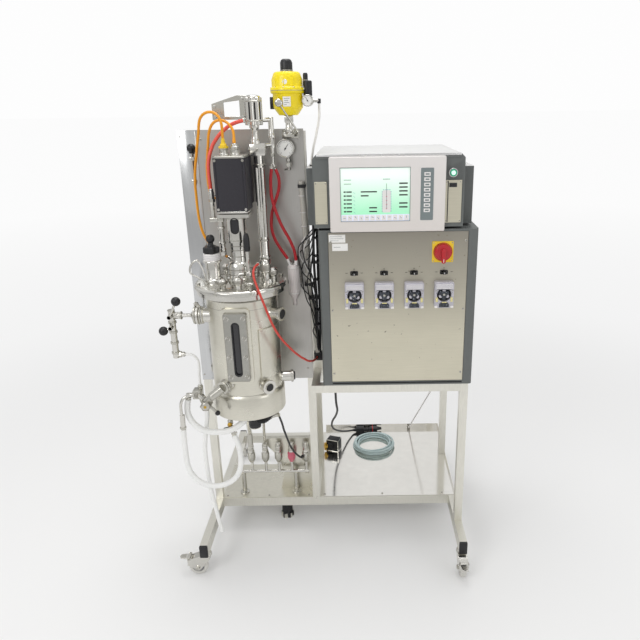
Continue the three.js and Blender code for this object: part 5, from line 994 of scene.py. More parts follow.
def main_switch():
    piece = Piece("main_switch_look", "main_switch_knob")
    x, z, back = 294, 1262, -1.3
    piece.turned((x, back, z), [(0, 0), (30, 0), (30, 2), (28.4, 13), (26, 14), (0, 14)], RED, FRONT, 64, 1)
    for k in range(12):
        a = math.radians(30 * k + 15)
        piece.rod((x + 28.6 * math.cos(a), back - 2.4, z + 28.6 * math.sin(a)),
                  (x + 26.9 * math.cos(a), back - 12.6, z + 26.9 * math.sin(a)), 1.9, RED, sides=10)
    piece.slab(rounded(span(x, 15), (z - 35, z + 14), 6), (back - 30, back - 13), RED, soft=2.2)
    piece.box(span(x, 2), (back - 30.4, back - 29), (z - 31, z - 19), WHITE, .3)
    piece.rod((x, 19, z), (x, back - 1, z), 6.9, BLACK)
    piece.done(["main_switch_knob"])


def switches_and_rotors():
    for i, x in enumerate(PUMPS, 1):
        lever = Piece(f"selector_{i}_look", f"selector_switch_{i}")
        lever.rod((x, 11, SELECTOR_Z), (x, -10, SELECTOR_Z), 3.2, BLACK)
        lever.rod((x, 11, 1182.2), (x, 11, 1195.8), 3.6, BLACK)
        lever.box(span(x, 11), (-16, -8), span(SELECTOR_Z, 10), BLACK, 1.6)
        lever.box(span(x, 1.4), (-16.3, -15.6), span(SELECTOR_Z, 7), WHITE, .2)
        lever.box((x - 5.6, x + 5.6), (-9.6, -8.2), span(SELECTOR_Z, 10.2), RUBBER, .5)
        lever.done([f"selector_switch_{i}"])
        rotor = Piece(f"rotor_{i}_look", f"pump_rotor_{i}")
        back = -2
        rotor.turned((x, back, PUMP_Z), disc(22, 4), SMOKE, FRONT, 48, .8)
        rotor.slab([polar(x, PUMP_Z, 20 if k % 4 < 2 else 12, math.radians(30 * k + 15)) for k in range(12)],
                   (back - 18.4, back - 15), SMOKE, soft=1)
        rotor.rod((x, 17, PUMP_Z), (x, back - 17.6, PUMP_Z), 4.4, BLACK)
        rotor.hexagon((x, back - 18, PUMP_Z), FRONT, 8, 1.8, STEEL)
        for a in (90, 210, 330):
            c, s = math.cos(math.radians(a)), math.sin(math.radians(a))
            rotor.rod((x + 14 * c, back - 3, PUMP_Z + 14 * s), (x + 14 * c, back - 17, PUMP_Z + 14 * s), 6,
                      LILAC)
        rotor.done([f"pump_rotor_{i}"])


def lower_cabinet():
    dress("lower_cabinet_shell", CHARCOAL, 40, 1)
    seams = Piece("cabinet_details")
    for side, x in ((-1, -137), (1, 416)):
        # Dark lines in the side seams, painted shade.
        seams.box(sorted((x - .3 * side, x + .5 * side)), (30, 32), (775, 1326), PAINTED_SHADE, 0)
        for z in (800, 1050, 1300):
            for y in (60, 440):
                seams.screw((x - 2.2 * side, y, z), (side, 0, 0), 4)
    # The rear vent slots are dark strips, painted shade.
    for k in range(12):
        seams.box((200 + 12 * k, 205 + 12 * k), (499.4, 500.5), (860, 960), PAINTED_SHADE, .2)
    for x in (-120, 400):
        for z in (780, 1320):
            seams.screw((x, 500, z), (0, 1, 0), 4)
    # A dark strip under the front plate, painted shade.
    seams.box((-101, 380), (3, 6), (766, 769), PAINTED_SHADE, 0)
    seams.rod((-95, 60, 753.2), (-95, 60, 759), 8.3, RUBBER)
    seams.done()
    front_plate()
    main_switch()
    switches_and_rotors()


def upper_cabinet():
    dress("upper_cabinet_shell", CHARCOAL, 40, 1.2)
    trim = Piece("cabinet_trim")
    trim.box((-134, 346), (-3.6, 1), (1586.2, 1593.3), TRIM, .8)
    trim.box((-133, 345), (-3.4, 0), (1580, 1584.5), CHARCOAL, .6)
    trim.box((-134, 346), (1, 479.6), (1592.4, 1593.8), ROOF, .4)
    for xs in ((-143, -101), (295.4, 351)):
        trim.slab(rounded(xs, (1364, 1506), 1.5), (-3.2, 0), SIDE_PLATE, soft=.6)
        for x in (xs[0] + 5, xs[1] - 5):
            for z in (1370, 1500):
                trim.screw((x, -3.2, z), FRONT, 2.4)
    # A dark line on the right side plate, painted shade in its gap.
    trim.box((303, 306), (-3.8, -3), (1366, 1504), PAINTED_SHADE, 0)
    trim.box((308.4, 333.6), (-6.6, -1), (1483.4, 1496.6), RUBBER, 1.4)
    trim.box((312, 330), (-7.4, -6), (1486, 1493), BLACK, .8)
    trim.turned((321, 0, 1530), sleeve(11.8, 15.4, 3.4), TRIM, FRONT, 48, .5)
    trim.box((-172.6, -149), (62, 479), (1544.8, 1546), ROOF, .4)
    trim.box((361, 399.6), (62, 479), (1544.8, 1546), ROOF, .4)
    trim.rod((-158.1, 128.2, 1550.9), (-158.4, 129, 1543.5), 7.3, RUBBER)
    trim.turned((-158.3, 128.6, 1545.2), disc(10, 2), DULL)
    # The rear vent slots are dark strips, painted shade.
    for z in (1400, 1440, 1480):
        trim.box((-100, 300), (479.5, 480.5), span(z, 5), PAINTED_SHADE, .2)
    for x in (-140, 390):
        for z in (1362, 1530):
            trim.screw((x, 480, z), (0, 1, 0), 4)
    trim.done()

    bezel = Piece("display_bezel_look")
    hole = [(-54.9, 1375.1), (175.9, 1375.1), (175.9, 1551.9), (-54.9, 1551.9)]
    bezel.slab(rounded((-92, 294), (1339, 1586), 5), (-22, -15.9), BEZEL, holes=[hole], soft=1.6)
    bezel.slab(rounded((-92, 294), (1339, 1586), 5), (-16, -2), BEZEL, soft=1)
    bezel.slab(rounded((211, 254), (1377, 1549), 3), (-23, -20), KEYPAD, soft=.5)
    for k in range(8):
        z = 1529 - 17 * k
        bezel.box((222, 243), (-24, -21), span(z, 12), WHITE, 1)
        bezel.box((226, 239), (-24.2, -23.6), span(z, 5), KEYPAD, .3)
    for z in (1375.6, 1551.4):
        bezel.box((-56, 177), (-22.3, -21), span(z, 1.4), KEYPAD, .2)
    for x in (-55.4, 176.4):
        bezel.box(span(x, 1.4), (-22.3, -21), (1375, 1552), KEYPAD, .2)
    bezel.box((-60, -54), (-22.3, -21.6), (1352, 1357), BEZEL, .2)
    bezel.done(["display_bezel"])

    screen = Piece("display_screen_look")
    screen.box((-54.7, 175.7), (-20, -16.3), (1375.3, 1551.7), SCREEN, .2)
    screen.box((-54, 175), (-20.3, -19.8), (1375.8, 1398), SCREEN_BAR, 0)
    for k in range(12):
        x = -44 + 19 * k
        screen.box(span(x, 15), (-20.5, -20.1), (1378, 1395.5), WHITE, 0)
        screen.box(span(x, 8), (-20.7, -20.3), span(1386 + 1.5 * (k % 3), 1.3), SCREEN_LINE, 0,
                   (25 * (k % 4), "Y"))
    for k in range(2):
        screen.box((-44, -19), (-20.5, -19.9), span(1512.5 - 13 * k, 1.8), KEYPAD, 0)
    for k in range(6):
        screen.box((-45, -38), (-20.5, -19.9), span(1473.5 - 13 * k, 4.6), INK, 0)
        screen.box((-36, -18), (-20.5, -19.9), span(1473.5 - 13 * k, 4.2), INK, 0)
        screen.box((-13, -6), (-20.5, -19.9), span(1470 - 13 * k, .9), SCREEN_LINE, 0, (40, "Y"))
    for xs, z in (((12, 66), 1473.5), ((12, 38), 1460.5), ((40, 66), 1420.5), ((40, 66), 1408)):
        screen.box(xs, (-20.5, -19.9), span(z, 4.2), INK, 0)
    for z in (1500, 1487.5, 1475, 1462, 1435, 1422):
        screen.box((140, 168), (-20.5, -19.9), span(z, 4.6), INK, 0)
    screen.slab(rounded((84, 112), (1404, 1478), 6), (-20.5, -19.9), WHITE, soft=0)
    for x in (83, 113):
        for k in range(9):
            screen.box(span(x, 1.6), (-20.6, -19.9), span(1409 + 8 * k, 4), SCREEN_LINE, 0)
    for k in range(4):
        screen.box(span(88 + 7 * k, 4), (-20.6, -19.9), span(1479.5, 1.4), SCREEN_LINE, 0)
        screen.box(span(98, 5), (-20.7, -20.3), span(1418 + 13 * k, 1.6), COPPER_TAG, 0)
    screen.box(span(98, 1.4), (-20.7, -20.3), (1415, 1500), KEYPAD, 0)
    screen.box((86, 110), (-20.5, -19.9), span(1514, 2), KEYPAD, 0)
    screen.done(["display_screen"])

    button = Piece("power_button_look", "power_button")
    button.turned((321, 14, 1530), [(0, 0), (11, 0), (11, 20), (9.8, 21), (0, 21)], GREEN, FRONT, 48, .5)
    button.turned((321, -6.6, 1530), [(0, 0), (7.4, 0), (7.4, 1), (6.4, 1.7), (0, 1.7)], GLOW, FRONT, 40, .3)
    button.done(["power_button"])


# ---------------------------------------------------------------- vessel

AXIS = Vector((-410, -15, 0))


def from_axis(angle, radius, z):
    """A point round the vessel; the angle runs from the front towards +X."""
    a = math.radians(angle)
    return AXIS + Vector((radius * math.sin(a), -radius * math.cos(a), z))


def outward(angle):
    a = math.radians(angle)
    return Vector((math.sin(a), -math.cos(a), 0))


def tri_clamp(piece, base, radius, height, toward=UP, material=BRIGHT):
    """A capped port: neck, clamp ring and a domed cap."""
    toward = Vector(toward).normalized()
    piece.turned(base, [(0, 0), (radius * .8, 0), (radius * .76, height * .3), (radius * .8, height * .45),
                        (radius, height * .5), (radius, height * .62), (radius * .97, height * .66),
                        (radius, height * .7), (radius, height * .84), (radius * .8, height * .9),
                        (radius * .72, height), (0, height)], material, toward, 40, .7)
    piece.turned(base, [(radius * .9, height * .52), (radius + 1.5, height * .55),
                        (radius + 1.5, height * .8),
                        (radius * .9, height * .82), (radius * .9, height * .52)], DULL, toward, 40, .4)


def shell_arc(piece, r0, r1, z0, z1, start, end, material, sides=120):
    """Part of a tube wall, between two angles from the front towards +X."""
    piece.turned(AXIS, [(r0, z0), (r1, z0), (r1, z1), (r0, z1), (r0, z0)], material, UP, sides, .2,
                 (start - 90, end - 90))


def vessel_body():
    dress("vessel_jacket", VESSEL, 40, .5)
    dress("sight_glass_frame", FRAME, 40, .8)
    dress("sight_glass", GLASS, 40, .4)
    wall = Piece("vessel_wall")
    inner, outer = 122.5, 124.15
    wall.turned(AXIS, [(inner, 786), (outer, 786), (outer, 838.4), (inner, 838.4), (inner, 786)], VESSEL, UP,
                120, 0)
    wall.turned(AXIS, [(inner, 1110.6), (outer, 1110.6), (outer, 1130), (inner, 1130), (inner, 1110.6)],
                VESSEL, UP, 120, 0)
    shell_arc(wall, inner, outer, 838.4, 1110.6, 27.6, 332.4, VESSEL)
    shell_arc(wall, 124, 131.15, 845.2, 1026.8, 32.2, 77.8, VESSEL)
    wall.turned(AXIS, [(122, 1129.8), (124.2, 1129.8), (138.2, 1141.9), (152.2, 1141.9), (152.2, 1157.8),
                       (120, 1157.8), (122, 1129.8)], BRIGHT, UP, 120, .6)
    wall.turned(AXIS, [(126, 693.2), (130.2, 693.2), (130.2, 770), (124.1, 786), (122, 786), (126, 693.2)],
                VESSEL, UP, 120, .4)
    # The black ring in the joint under the lid is partly a gasket and partly painted shade under the lid's
    # rim.
    wall.turned(AXIS, [(150, 1157.2), (153, 1157.2), (153, 1158.2), (150, 1158.2), (150, 1157.2)], RUBBER, UP,
                120, 0)
    # Thin dull rings round the wall, painted shade lines.
    for z, high in ((786, 1.2), (1100, 1), (1128, 1.4)):
        wall.turned(AXIS, [(122, z), (124.6, z), (124.6, z + high), (122, z + high), (122, z)], DULL, UP, 120,
                    0)
    wall.done()

    ports = Piece("vessel_ports")
    for angle, z, radius, reach in ((62, 1074, 20, 42), (39, 817, 21, 26), (96, 802, 19, 40),
                                    (-118, 822, 22, 30), (-25, 828, 21, 18)):
        way = outward(angle)
        root = from_axis(angle, 112, z)
        long = 12 + reach
        sensor = angle == 62
        ports.turned(root, [(0, 0), (radius + 4.4, 0), (radius + 2.4, 10), (radius + .2, 14),
                            (radius + .2, long - 8),
                            (radius + 4.2, long - 8), (radius + 4.2, long + .2), (0, long + .2)], BRIGHT, way,
                            48, .6)
        ports.turned(root + way * (long - 4.6),
                     [(radius + 3.4, 0), (radius + 4.8, 0), (radius + 4.8, 1), (radius + 3.4, 1),
                                                 (radius + 3.4, 0)], DULL, way, 48, 0)
        if angle != -25:
            plug = radius - (3 if sensor or angle == 96 else 7)
            out = 7 if angle == 96 else 1.5
            ports.turned(root + way * long, [(0, 0), (plug, 0), (plug - 1, out), (0, out)], BLACK, way, 40,
                         .4)
            ports.turned(root + way * long, sleeve(plug, plug + 2, 2.2), STEEL,
                         way, 48, .3)
    ports.turned(from_axis(39, 138, 817), [(0, 0), (14, 0), (14, 3), (11.6, 3), (11.6, 1.6), (0, 1.6)],
                 RUBBER, outward(39), 32, .3)
    ports.rod((-490, -60, 1064), (-546.2, -60, 1064), 26.2, BRIGHT, sides=44)
    ports.turned((-545, -60, 1064), [(24, 0), (30.2, 0), (30.2, 4), (26, 8), (24, 8), (24, 0)], BRIGHT, RIGHT,
                 44, .3)
    ports.done()

    under = Piece("vessel_underside")
    under.turned(AXIS, [(0, 639.8), (12.2, 639.8), (12.2, 660), (17, 664), (17, 672), (12.4, 676),
                        (12.4, 706), (0, 706)], STEEL, UP, 36)
    under.turned((-388, -75, 0), [(0, 631.8), (19, 631.8), (22.3, 636), (22.3, 708), (20, 713.2), (0, 713.2)],
                 BLACK)
    for z in (646, 662, 700):
        under.turned((-388, -75, z), sleeve(21, 22.9, 3), RUBBER)
    under.rod((-388, -94, 684), (-388, -99, 684), 5, DULL)
    bend = smooth_path([(-376, -84, 668), (-362, -92, 664), (-344, -95, 670), (-328, -90, 684),
                        (-318, -80, 698)], 7)
    for k, here in enumerate(bend[:-1]):
        way = bend[k + 1] - here
        under.turned(here, [(0, 0), (9.4 if k % 2 else 7.6, 0), (9.4 if k % 2 else 7.6, way.length + .1),
                            (0, way.length + .1)], RUBBER, way, 20, 0)
    under.rod((-384, -74, 656), (-302, -70, 680), 8.2, STEEL)
    under.hexagon((-336, -71.4, 670.4), (82, 4, 25), 20, 9, STEEL)
    under.turned((-480, -68, 0), [(0, 623.8), (7.3, 623.8), (7.3, 640), (10, 642), (10, 656), (7.3, 658),
                                  (7.3, 706), (0, 706)], STEEL, UP, 28)
    under.rod((-500, -69, 620), (-452, -69, 632), 5.2, GREEN_GRIP)
    under.rod((-505, -69, 618.8), (-474, -69, 626.4), 6.8, GREEN_GRIP)
    under.turned((-480, -76, 644), [(0, 0), (8.6, 0), (8.6, 7), (5, 9), (0, 9)], BRASS, FRONT)
    under.hexagon((-480, -68, 625), UP, 17, 8, BRASS)
    under.hexagon((-420, -83, 667), (14, 4, 12), 19, 7, STEEL)
    under.hexagon((-468, -76, 612), (3, -6, -14), 20, 8, STEEL)
    under.done()


def sight_glass():
    piece = Piece("sight_glass_bolts")
    for side in (-1, 1):
        for z in (867.3, 938.9, 1008.1, 1079.7):
            x = -415 + 28 * side
            piece.turned((x, -153.2, z), disc(8.4, 1.3), BRIGHT, FRONT, 28, .2)
            piece.hexagon((x, -154.4, z), FRONT, 11.6, 5.2, BRIGHT, .7)
            piece.turned((x, -158, z), [(0, 0), (3.4, 0), (2.8, 2.6), (0, 2.9)], DULL, FRONT, 20, .2)
    slot = rounded((-426.6, -403.4), (872.6, 1061.4), 11.4, 8)
    inner = rounded((-424.6, -405.4), (874.6, 1059.4), 9.4, 8)
    piece.slab(slot, (-152.4, -145.6), RUBBER, holes=[inner], soft=.3)
    piece.slab(rounded((-424.4, -405.6), (874.8, 1059.2), 9.3, 8), (-146.6, -145.4), GLASS, soft=.2)
    piece.slab(rounded((-429.4, -400.6), (868, 1066), 14.2, 8), (-153.9, -152.4), BLACK, holes=[inner],
               soft=.5)
    # A dull band round the edge of the frame, painted shade.
    edge = rounded((-454, -376), (850, 1097), 7)
    piece.slab(edge, (-153.7, -152.8), DULL, holes=[rounded((-451.4, -378.6), (852.6, 1094.4), 5.5)], soft=.2)
    piece.done()


# ---------------------------------------------------------------- lid

def lid():
    piece = Piece("vessel_lid_look")
    piece.turned(AXIS, [(12.2, 1151.5), (98, 1151.5), (98, 1158.4), (157.6, 1158.4), (157.9, 1171),
                        (152, 1176), (12.2, 1176), (12.2, 1151.5)], BRIGHT, UP, 128, 1)
    piece.turned(AXIS, [(140, 1175), (150, 1175.8), (148, 1176.6), (118, 1176.6), (116, 1175)], STEEL, UP,
                 128, 0)
    for i in range(8):
        foot = from_axis(22.5 + 45 * i, 146, 1175)
        piece.turned(foot, disc(9.6, 1.4), BRIGHT, UP, 32, .2)
        piece.hexagon(foot + Vector((0, 0, 1.4)), UP, 12, 6.6, STEEL, .8)
        side = from_axis(22.5 + 45 * i, 157, 1165)
        piece.box(span(side.x, 12), span(side.y, 4), span(side.z, 9), STEEL, .8, (22.5 + 45 * i, "Z"))

    x, y = -500, -30
    piece.turned((x, y, 1170), [(0, 0), (36, 0), (32.4, 6), (32.2, 17), (25.2, 20), (25.2, 76), (0, 76)],
                 BRIGHT, UP, 56)
    piece.turned((x, y, 1246), [(0, 0), (31.4, 0), (31.8, 4), (29, 8), (0, 8)], BRIGHT, UP, 56, .6)
    piece.turned((x, y, 1252), [(20, 0), (27.4, 0), (28.2, 3), (28.2, 21), (26, 24.6), (20, 24.6), (20, 0)],
                 WHITE, UP, 56, 1)
    piece.turned((x, y, 1252), disc(22, 20), BRIGHT, UP, 48)
    for z in (1258, 1264, 1270):
        piece.turned((x, y, z), sleeve(27, 28.7, 1), LILAC, UP, 56, 0)

    piece.box((-488, -456), (-20, 12), (1262, 1276.3), BRIGHT, 2)
    piece.turned((-466, 2, 1274), [(0, 0), (11.5, 0), (11.5, 9), (9.2, 12), (9.2, 112), (0, 112)], BRIGHT, UP,
                 32)
    for z in (1300, 1352):
        piece.turned((-466, 2, z), [(9, 0), (12.6, 1.5), (12.6, 8), (9, 9.5), (9, 0)], BRIGHT, UP, 32, .4)
    piece.box((-502, -455), (-9, 13), (1377.8, 1392.2), STEEL, 2.4)
    piece.hexagon((-478.5, -9, 1385), FRONT, 11, 4, BRIGHT)
    piece.turned((-490, 4, 1388), [(0, 0), (7.3, 0), (7.3, 52), (9.2, 56), (9.2, 88), (7.6, 92), (7.6, 100.2),
                                   (0, 100.2)],
                 BRIGHT, UP, 28)
    piece.hexagon((-490, 4, 1444), UP, 19, 10, STEEL)
    loop = [(-516, -66, 1175), (-524, -66, 1186), (-536, -66, 1195), (-554, -65, 1205), (-570, -64, 1217),
            (-566, -63, 1242), (-545, -62, 1259), (-530, -60, 1235), (-522, -58, 1205), (-518, -58, 1175)]
    piece.tube(loop, 3.2, BRIGHT, 12, 6)

    x, y = -372, -62
    piece.rod((x, y, 1170), (x, y, 1290), 6.3, BRIGHT)
    piece.turned((x, y, 1174), [(0, 0), (17, 0), (17, 5), (13, 8), (0, 8)], BRIGHT)
    piece.hexagon((x, y, 1182), UP, 24.6, 20.3, STEEL, 1.2)
    piece.turned((x, y, 1203), [(0, 0), (10, 0), (10, 12), (7, 16), (0, 16)], BRIGHT)
    piece.turned((x, y, 1288), [(0, 0), (9.4, 0), (10.7, 6), (10.7, 42), (9, 52), (6, 60.2), (0, 60.2)],
                 BLACK, UP, 32)
    piece.turned((x, y, 1300), sleeve(10, 11.3, 3), RUBBER, UP, 32, 0)

    for x, y, radius, height in ((-452, -122, 17, 34), (-396, -138, 15, 42), (-300, -20, 21, 46),
                                 (-470, 66, 18, 40)):
        tri_clamp(piece, (x, y, 1174), radius, height + 2)
    tri_clamp(piece, (-316, -50, 1174), 17, 82)
    piece.tube([(-396, -138, 1214), (-396, -138, 1222), (-388, -139, 1229), (-374, -140, 1231)], 4.6, BRIGHT,
               12)
    start = Vector(ROUTES["thin_red_hose"][2][0])
    ahead = (Vector(ROUTES["thin_red_hose"][2][1]) - start).normalized()
    piece.rod(start - 26 * ahead, start + .2 * ahead, 7.2, BRIGHT)
    piece.hexagon(start - 10 * ahead, ahead, 15, 7, STEEL)
    for angle in (70, 118, 160, 205, 250):
        foot = from_axis(angle, 112, 1174)
        piece.turned(foot, [(0, 0), (13, 0), (13, 6), (10, 9), (10, 16), (0, 16)], BRIGHT, UP, 32)
    piece.done(["vessel_lid"])

    knob = Piece("port_handwheel_look", "port_handwheel")
    x, y = -500, -30
    lobes = []
    for k in range(90):
        a = 2 * math.pi * k / 90
        r = 25.6 + 3.4 * math.cos(5 * a)
        lobes.append(polar(x, y, r, a))
    knob.rod((x, y, 1259.2), (x, y, 1279), 5.4, BRIGHT)
    knob.slab(lobes, (1277.6, 1299.4), BLACK, "XY", soft=3)
    knob.turned((x, y, 1298), [(0, 0), (16, 0), (12, 4), (9.2, 8), (8.4, 19.5), (0, 19.5)], BLACK, UP, 36, 1)
    knob.ball((x, y, 1325.5), 14.9, BLACK, 40)
    knob.turned((x, y, 1338.6), [(0, 0), (4.6, 0), (4, 1.8), (0, 1.9)], DULL, UP, 20, .2)
    knob.done(["port_handwheel"])


# ---------------------------------------------------------------- drive

def drive():
    column = Piece("drive_column_look")
    column.turned(AXIS, [(12.2, 1176.4), (45, 1176.4), (45, 1188.3), (40, 1190), (40, 1226), (36, 1240),
                         (26, 1246), (26, 1311.7), (12.2, 1311.7), (12.2, 1176.4)], BRIGHT, UP, 64, 1.2)
    for z, r in ((1200, 40), (1218, 40), (1262, 26), (1284, 26), (1298, 26)):
        column.turned(AXIS, [(r - 2, z), (r + .7, z), (r + .7, z + 3), (r - 2, z + 3), (r - 2, z)], DULL, UP,
                      64, .2)
    for i in range(6):
        column.hexagon(from_axis(60 * i + 12, 42, 1188), UP, 5, 2.8, STEEL, .4)
    start = Vector(ROUTES["orange_cable_1"][2][-1])
    back = (Vector(ROUTES["orange_cable_1"][2][-2]) - start).normalized()
    column.rod(start - 18 * back, start + .2 * back, 7.2, BRIGHT)
    column.rod(start - 6 * back, start + 9 * back, 6.2, ORANGE, 4.9)
    column.done(["drive_column"])

    dress("coupling_housing", BRIGHT, 40, .8)
    dress("agitator_shaft", BRIGHT, 40, .3)
    trims = Piece("coupling_trim")
    for z in (1318, 1392):
        trims.turned(AXIS, [(32, z), (34.6, z), (34.6, z + 4), (32, z + 4), (32, z)], STEEL, UP, 64, .3)
    trims.slab(rounded((-424.4, -395.6), (1343.6, 1397.4), 13.4, 8), (-49.8, -42), BLACK,
               holes=[rounded((-421, -399), (1347, 1394), 10.4, 8)], soft=.6)
    trims.slab(rounded((-422, -398), (1346, 1395), 11.4, 8), (-47.4, -45), GLASS, soft=.3)
    for x in (-455, -365):
        for y in (-60, 30):
            trims.hexagon((x, y, 1401.2), (0, 0, -1), 8, 3.4, STEEL, .5)
    trims.done()

    motor = Piece("motor_look")
    motor.slab(rounded((-461.4, -358.6), (-66.4, 36.4), 8), (1414.4, 1421), BRIGHT, "XY", soft=1)
    motor.slab(rounded((-460, -360), (-65, 35), 12), (1420.6, 1592.8), MOTOR, "XY", soft=1)
    motor.slab(rounded((-461.4, -358.6), (-66.4, 36.4), 8), (1590.6, 1597.8), STEEL, "XY", soft=1)
    for x in (-457, -363):
        for y in (-62, 32):
            motor.rod((x, y, 1420), (x, y, 1592), 4.2, MOTOR, sides=14)
            motor.turned((x, y, 1597.8), disc(4, 1.8), DULL, UP, 16, .2)
    motor.box((-438, -358), (33, 69), (1434.2, 1591.8), MOTOR, 2)
    motor.slab(rounded((-432, -364), (1444, 1582), 2), (69, 70.4), RUBBER, soft=.4)
    for x in (-455, -365):
        for z in (1428, 1584):
            motor.turned((x, -65, z), disc(4.4, 1.6), BRIGHT if z < 1500 else DULL, FRONT, 20, .2)
    for index, x in enumerate((-434, -398)):
        motor.turned((x, -7, 1597), [(0, 0), (15.2, 0), (15.2, 6), (13.4, 8), (13.4, 20), (15.2, 22),
                                     (15.2, 28.6), (0, 28.6)], BRIGHT, UP, 36, .6)
        motor.turned((x, -7, 1625), [(0, 0), (11.3, 0), (11.3, 5), (9, 9.2), (0, 9.2)],
                     YELLOW if index == 0 else STEEL, UP, 32, .6)
        for k in range(14):
            a = 2 * math.pi * k / 14
            motor.rod((*polar(x, -7, 14, a), 1605.5),
                      (*polar(x, -7, 14, a), 1616.5), 1.3, STEEL, sides=8)
        name = "orange_cable_1" if index == 0 else "orange_cable_2"
        foot = Vector(ROUTES[name][2][0])
        ahead = (Vector(ROUTES[name][2][1]) - foot).normalized()
        motor.rod(foot - 3.8 * ahead, foot + 13 * ahead, 7.4 - 1.4 * index, YELLOW if index == 0 else ORANGE,
                  4.9)
    motor.turned((-434, -7, 1619), sleeve(13, 16, 6.8), YELLOW, UP, 36, .4)
    motor.done(["motor_body"])


# ---------------------------------------------------------------- exhaust, actuator

def exhaust():
    piece = Piece("exhaust_look")
    x, y = -330, 50
    piece.turned((x, y, 1176.4), [(0, 0), (24, 0), (24, 13.9), (20, 17), (20, 69.8), (17, 73.8), (17, 415.6),
                                  (0, 415.6)],
                 BRIGHT, UP, 48, 1)
    for z in (1192, 1212, 1236, 1300, 1556):
        piece.turned((x, y, z), [(16, 0), (21.6, 1), (21.6, 7), (16, 8), (16, 0)], STEEL, UP, 48, .5)
    for side in (-1, 1):
        piece.turned((x + 9 * side, y - 10, 1316), disc(8, 236), BRIGHT, UP, 28)
    piece.box(span(x, 52), span(y, 44), (1591, 1629), BRIGHT, 3)
    piece.hexagon((x - 26, y, 1610), (-1, 0, 0), 16, 5, STEEL)
    piece.screw((x, y - 22, 1610), FRONT, 6)
    x = -338
    piece.turned((x, y, 1626), [(0, 0), (15, 0), (15, 14), (11.2, 18), (11.2, 46), (16.2, 54), (16.2, 64),
                                (0, 64)],
                 BRIGHT, UP, 44, .8)
    ribs = []
    for k in range(96):
        a = 2 * math.pi * k / 96
        r = 27.4 + 2.6 * math.cos(8 * a)
        ribs.append(polar(x, y, r, a))
    piece.slab(ribs, (1688, 1775), BRIGHT, "XY", soft=2)
    # Dark strips between the ribs, painted shade in the gaps.
    for k in range(8):
        a = math.radians(45 * k + 22.5)
        piece.box(span(x + 25.6 * math.cos(a), 3), span(y + 25.6 * math.sin(a), 3), (1706, 1760), PAINTED_SHADE, .5,
                  (math.degrees(a), "Z"))
    piece.turned((x, y, 1774), [(0, 0), (26, 0), (24, 5), (14, 8), (0, 8)], BRIGHT, UP, 48, 1)
    for z in (1700, 1761):
        piece.turned((x, y, z), sleeve(26, 30.3, 4), STEEL, UP, 56, .6)
    plate = [(-476, 1706), (-338, 1706), (-338, 1780), (-392, 1782), (-476, 1756)]
    window = [(-436, 1716), (-384, 1716), (-384, 1766), (-436, 1760)]
    piece.slab(plate, (60, 63), STEEL, holes=[window], soft=.5)
    for px, pz in ((-466, 1716), (-466, 1748), (-374, 1716), (-374, 1772)):
        piece.hexagon((px, 60, pz), FRONT, 8, 3.4, BRIGHT, .4)
    piece.rod((-330, 60, 1622), (-288, 90, 1622), 8.2, BRIGHT)
    piece.turned((-288, 90, 1612), [(0, 0), (9.3, 0), (9.3, 30), (12, 33), (12, 44), (9.3, 47), (9.3, 100),
                                    (0, 100)],
                 BRIGHT, UP, 32)
    piece.rod((-288, 90, 1704), (-338, 62, 1704), 7.2, BRIGHT)
    piece.rod((-288, 90, 1552), (-288, 90, 1613), 6.2, BRIGHT)
    piece.hexagon((-288, 90, 1584), UP, 17, 11, STEEL)
    for name in ("coral_hose", "red_hose_1", "red_hose_2"):
        points = [Vector(p) for p in ROUTES[name][2]]
        end, before = (points[-1], points[-2]) if name == "coral_hose" else (points[0], points[1])
        gap = min(((q - Vector((x, y, 1735))).length, n) for n, q in ((0, points[0]), (1, points[-1])))[1]
        end, before = (points[0], points[1]) if gap == 0 else (points[-1], points[-2])
        way = (before - end).normalized()
        long, radius = (20, 8) if name == "coral_hose" else (22, 5)
        piece.rod(end - long * way, end + .2 * way, radius + .2, BRIGHT)
        piece.hexagon(end - 9 * way, way, 2 * radius + 3, 6, STEEL, .5)
    piece.done(["exhaust_line"])


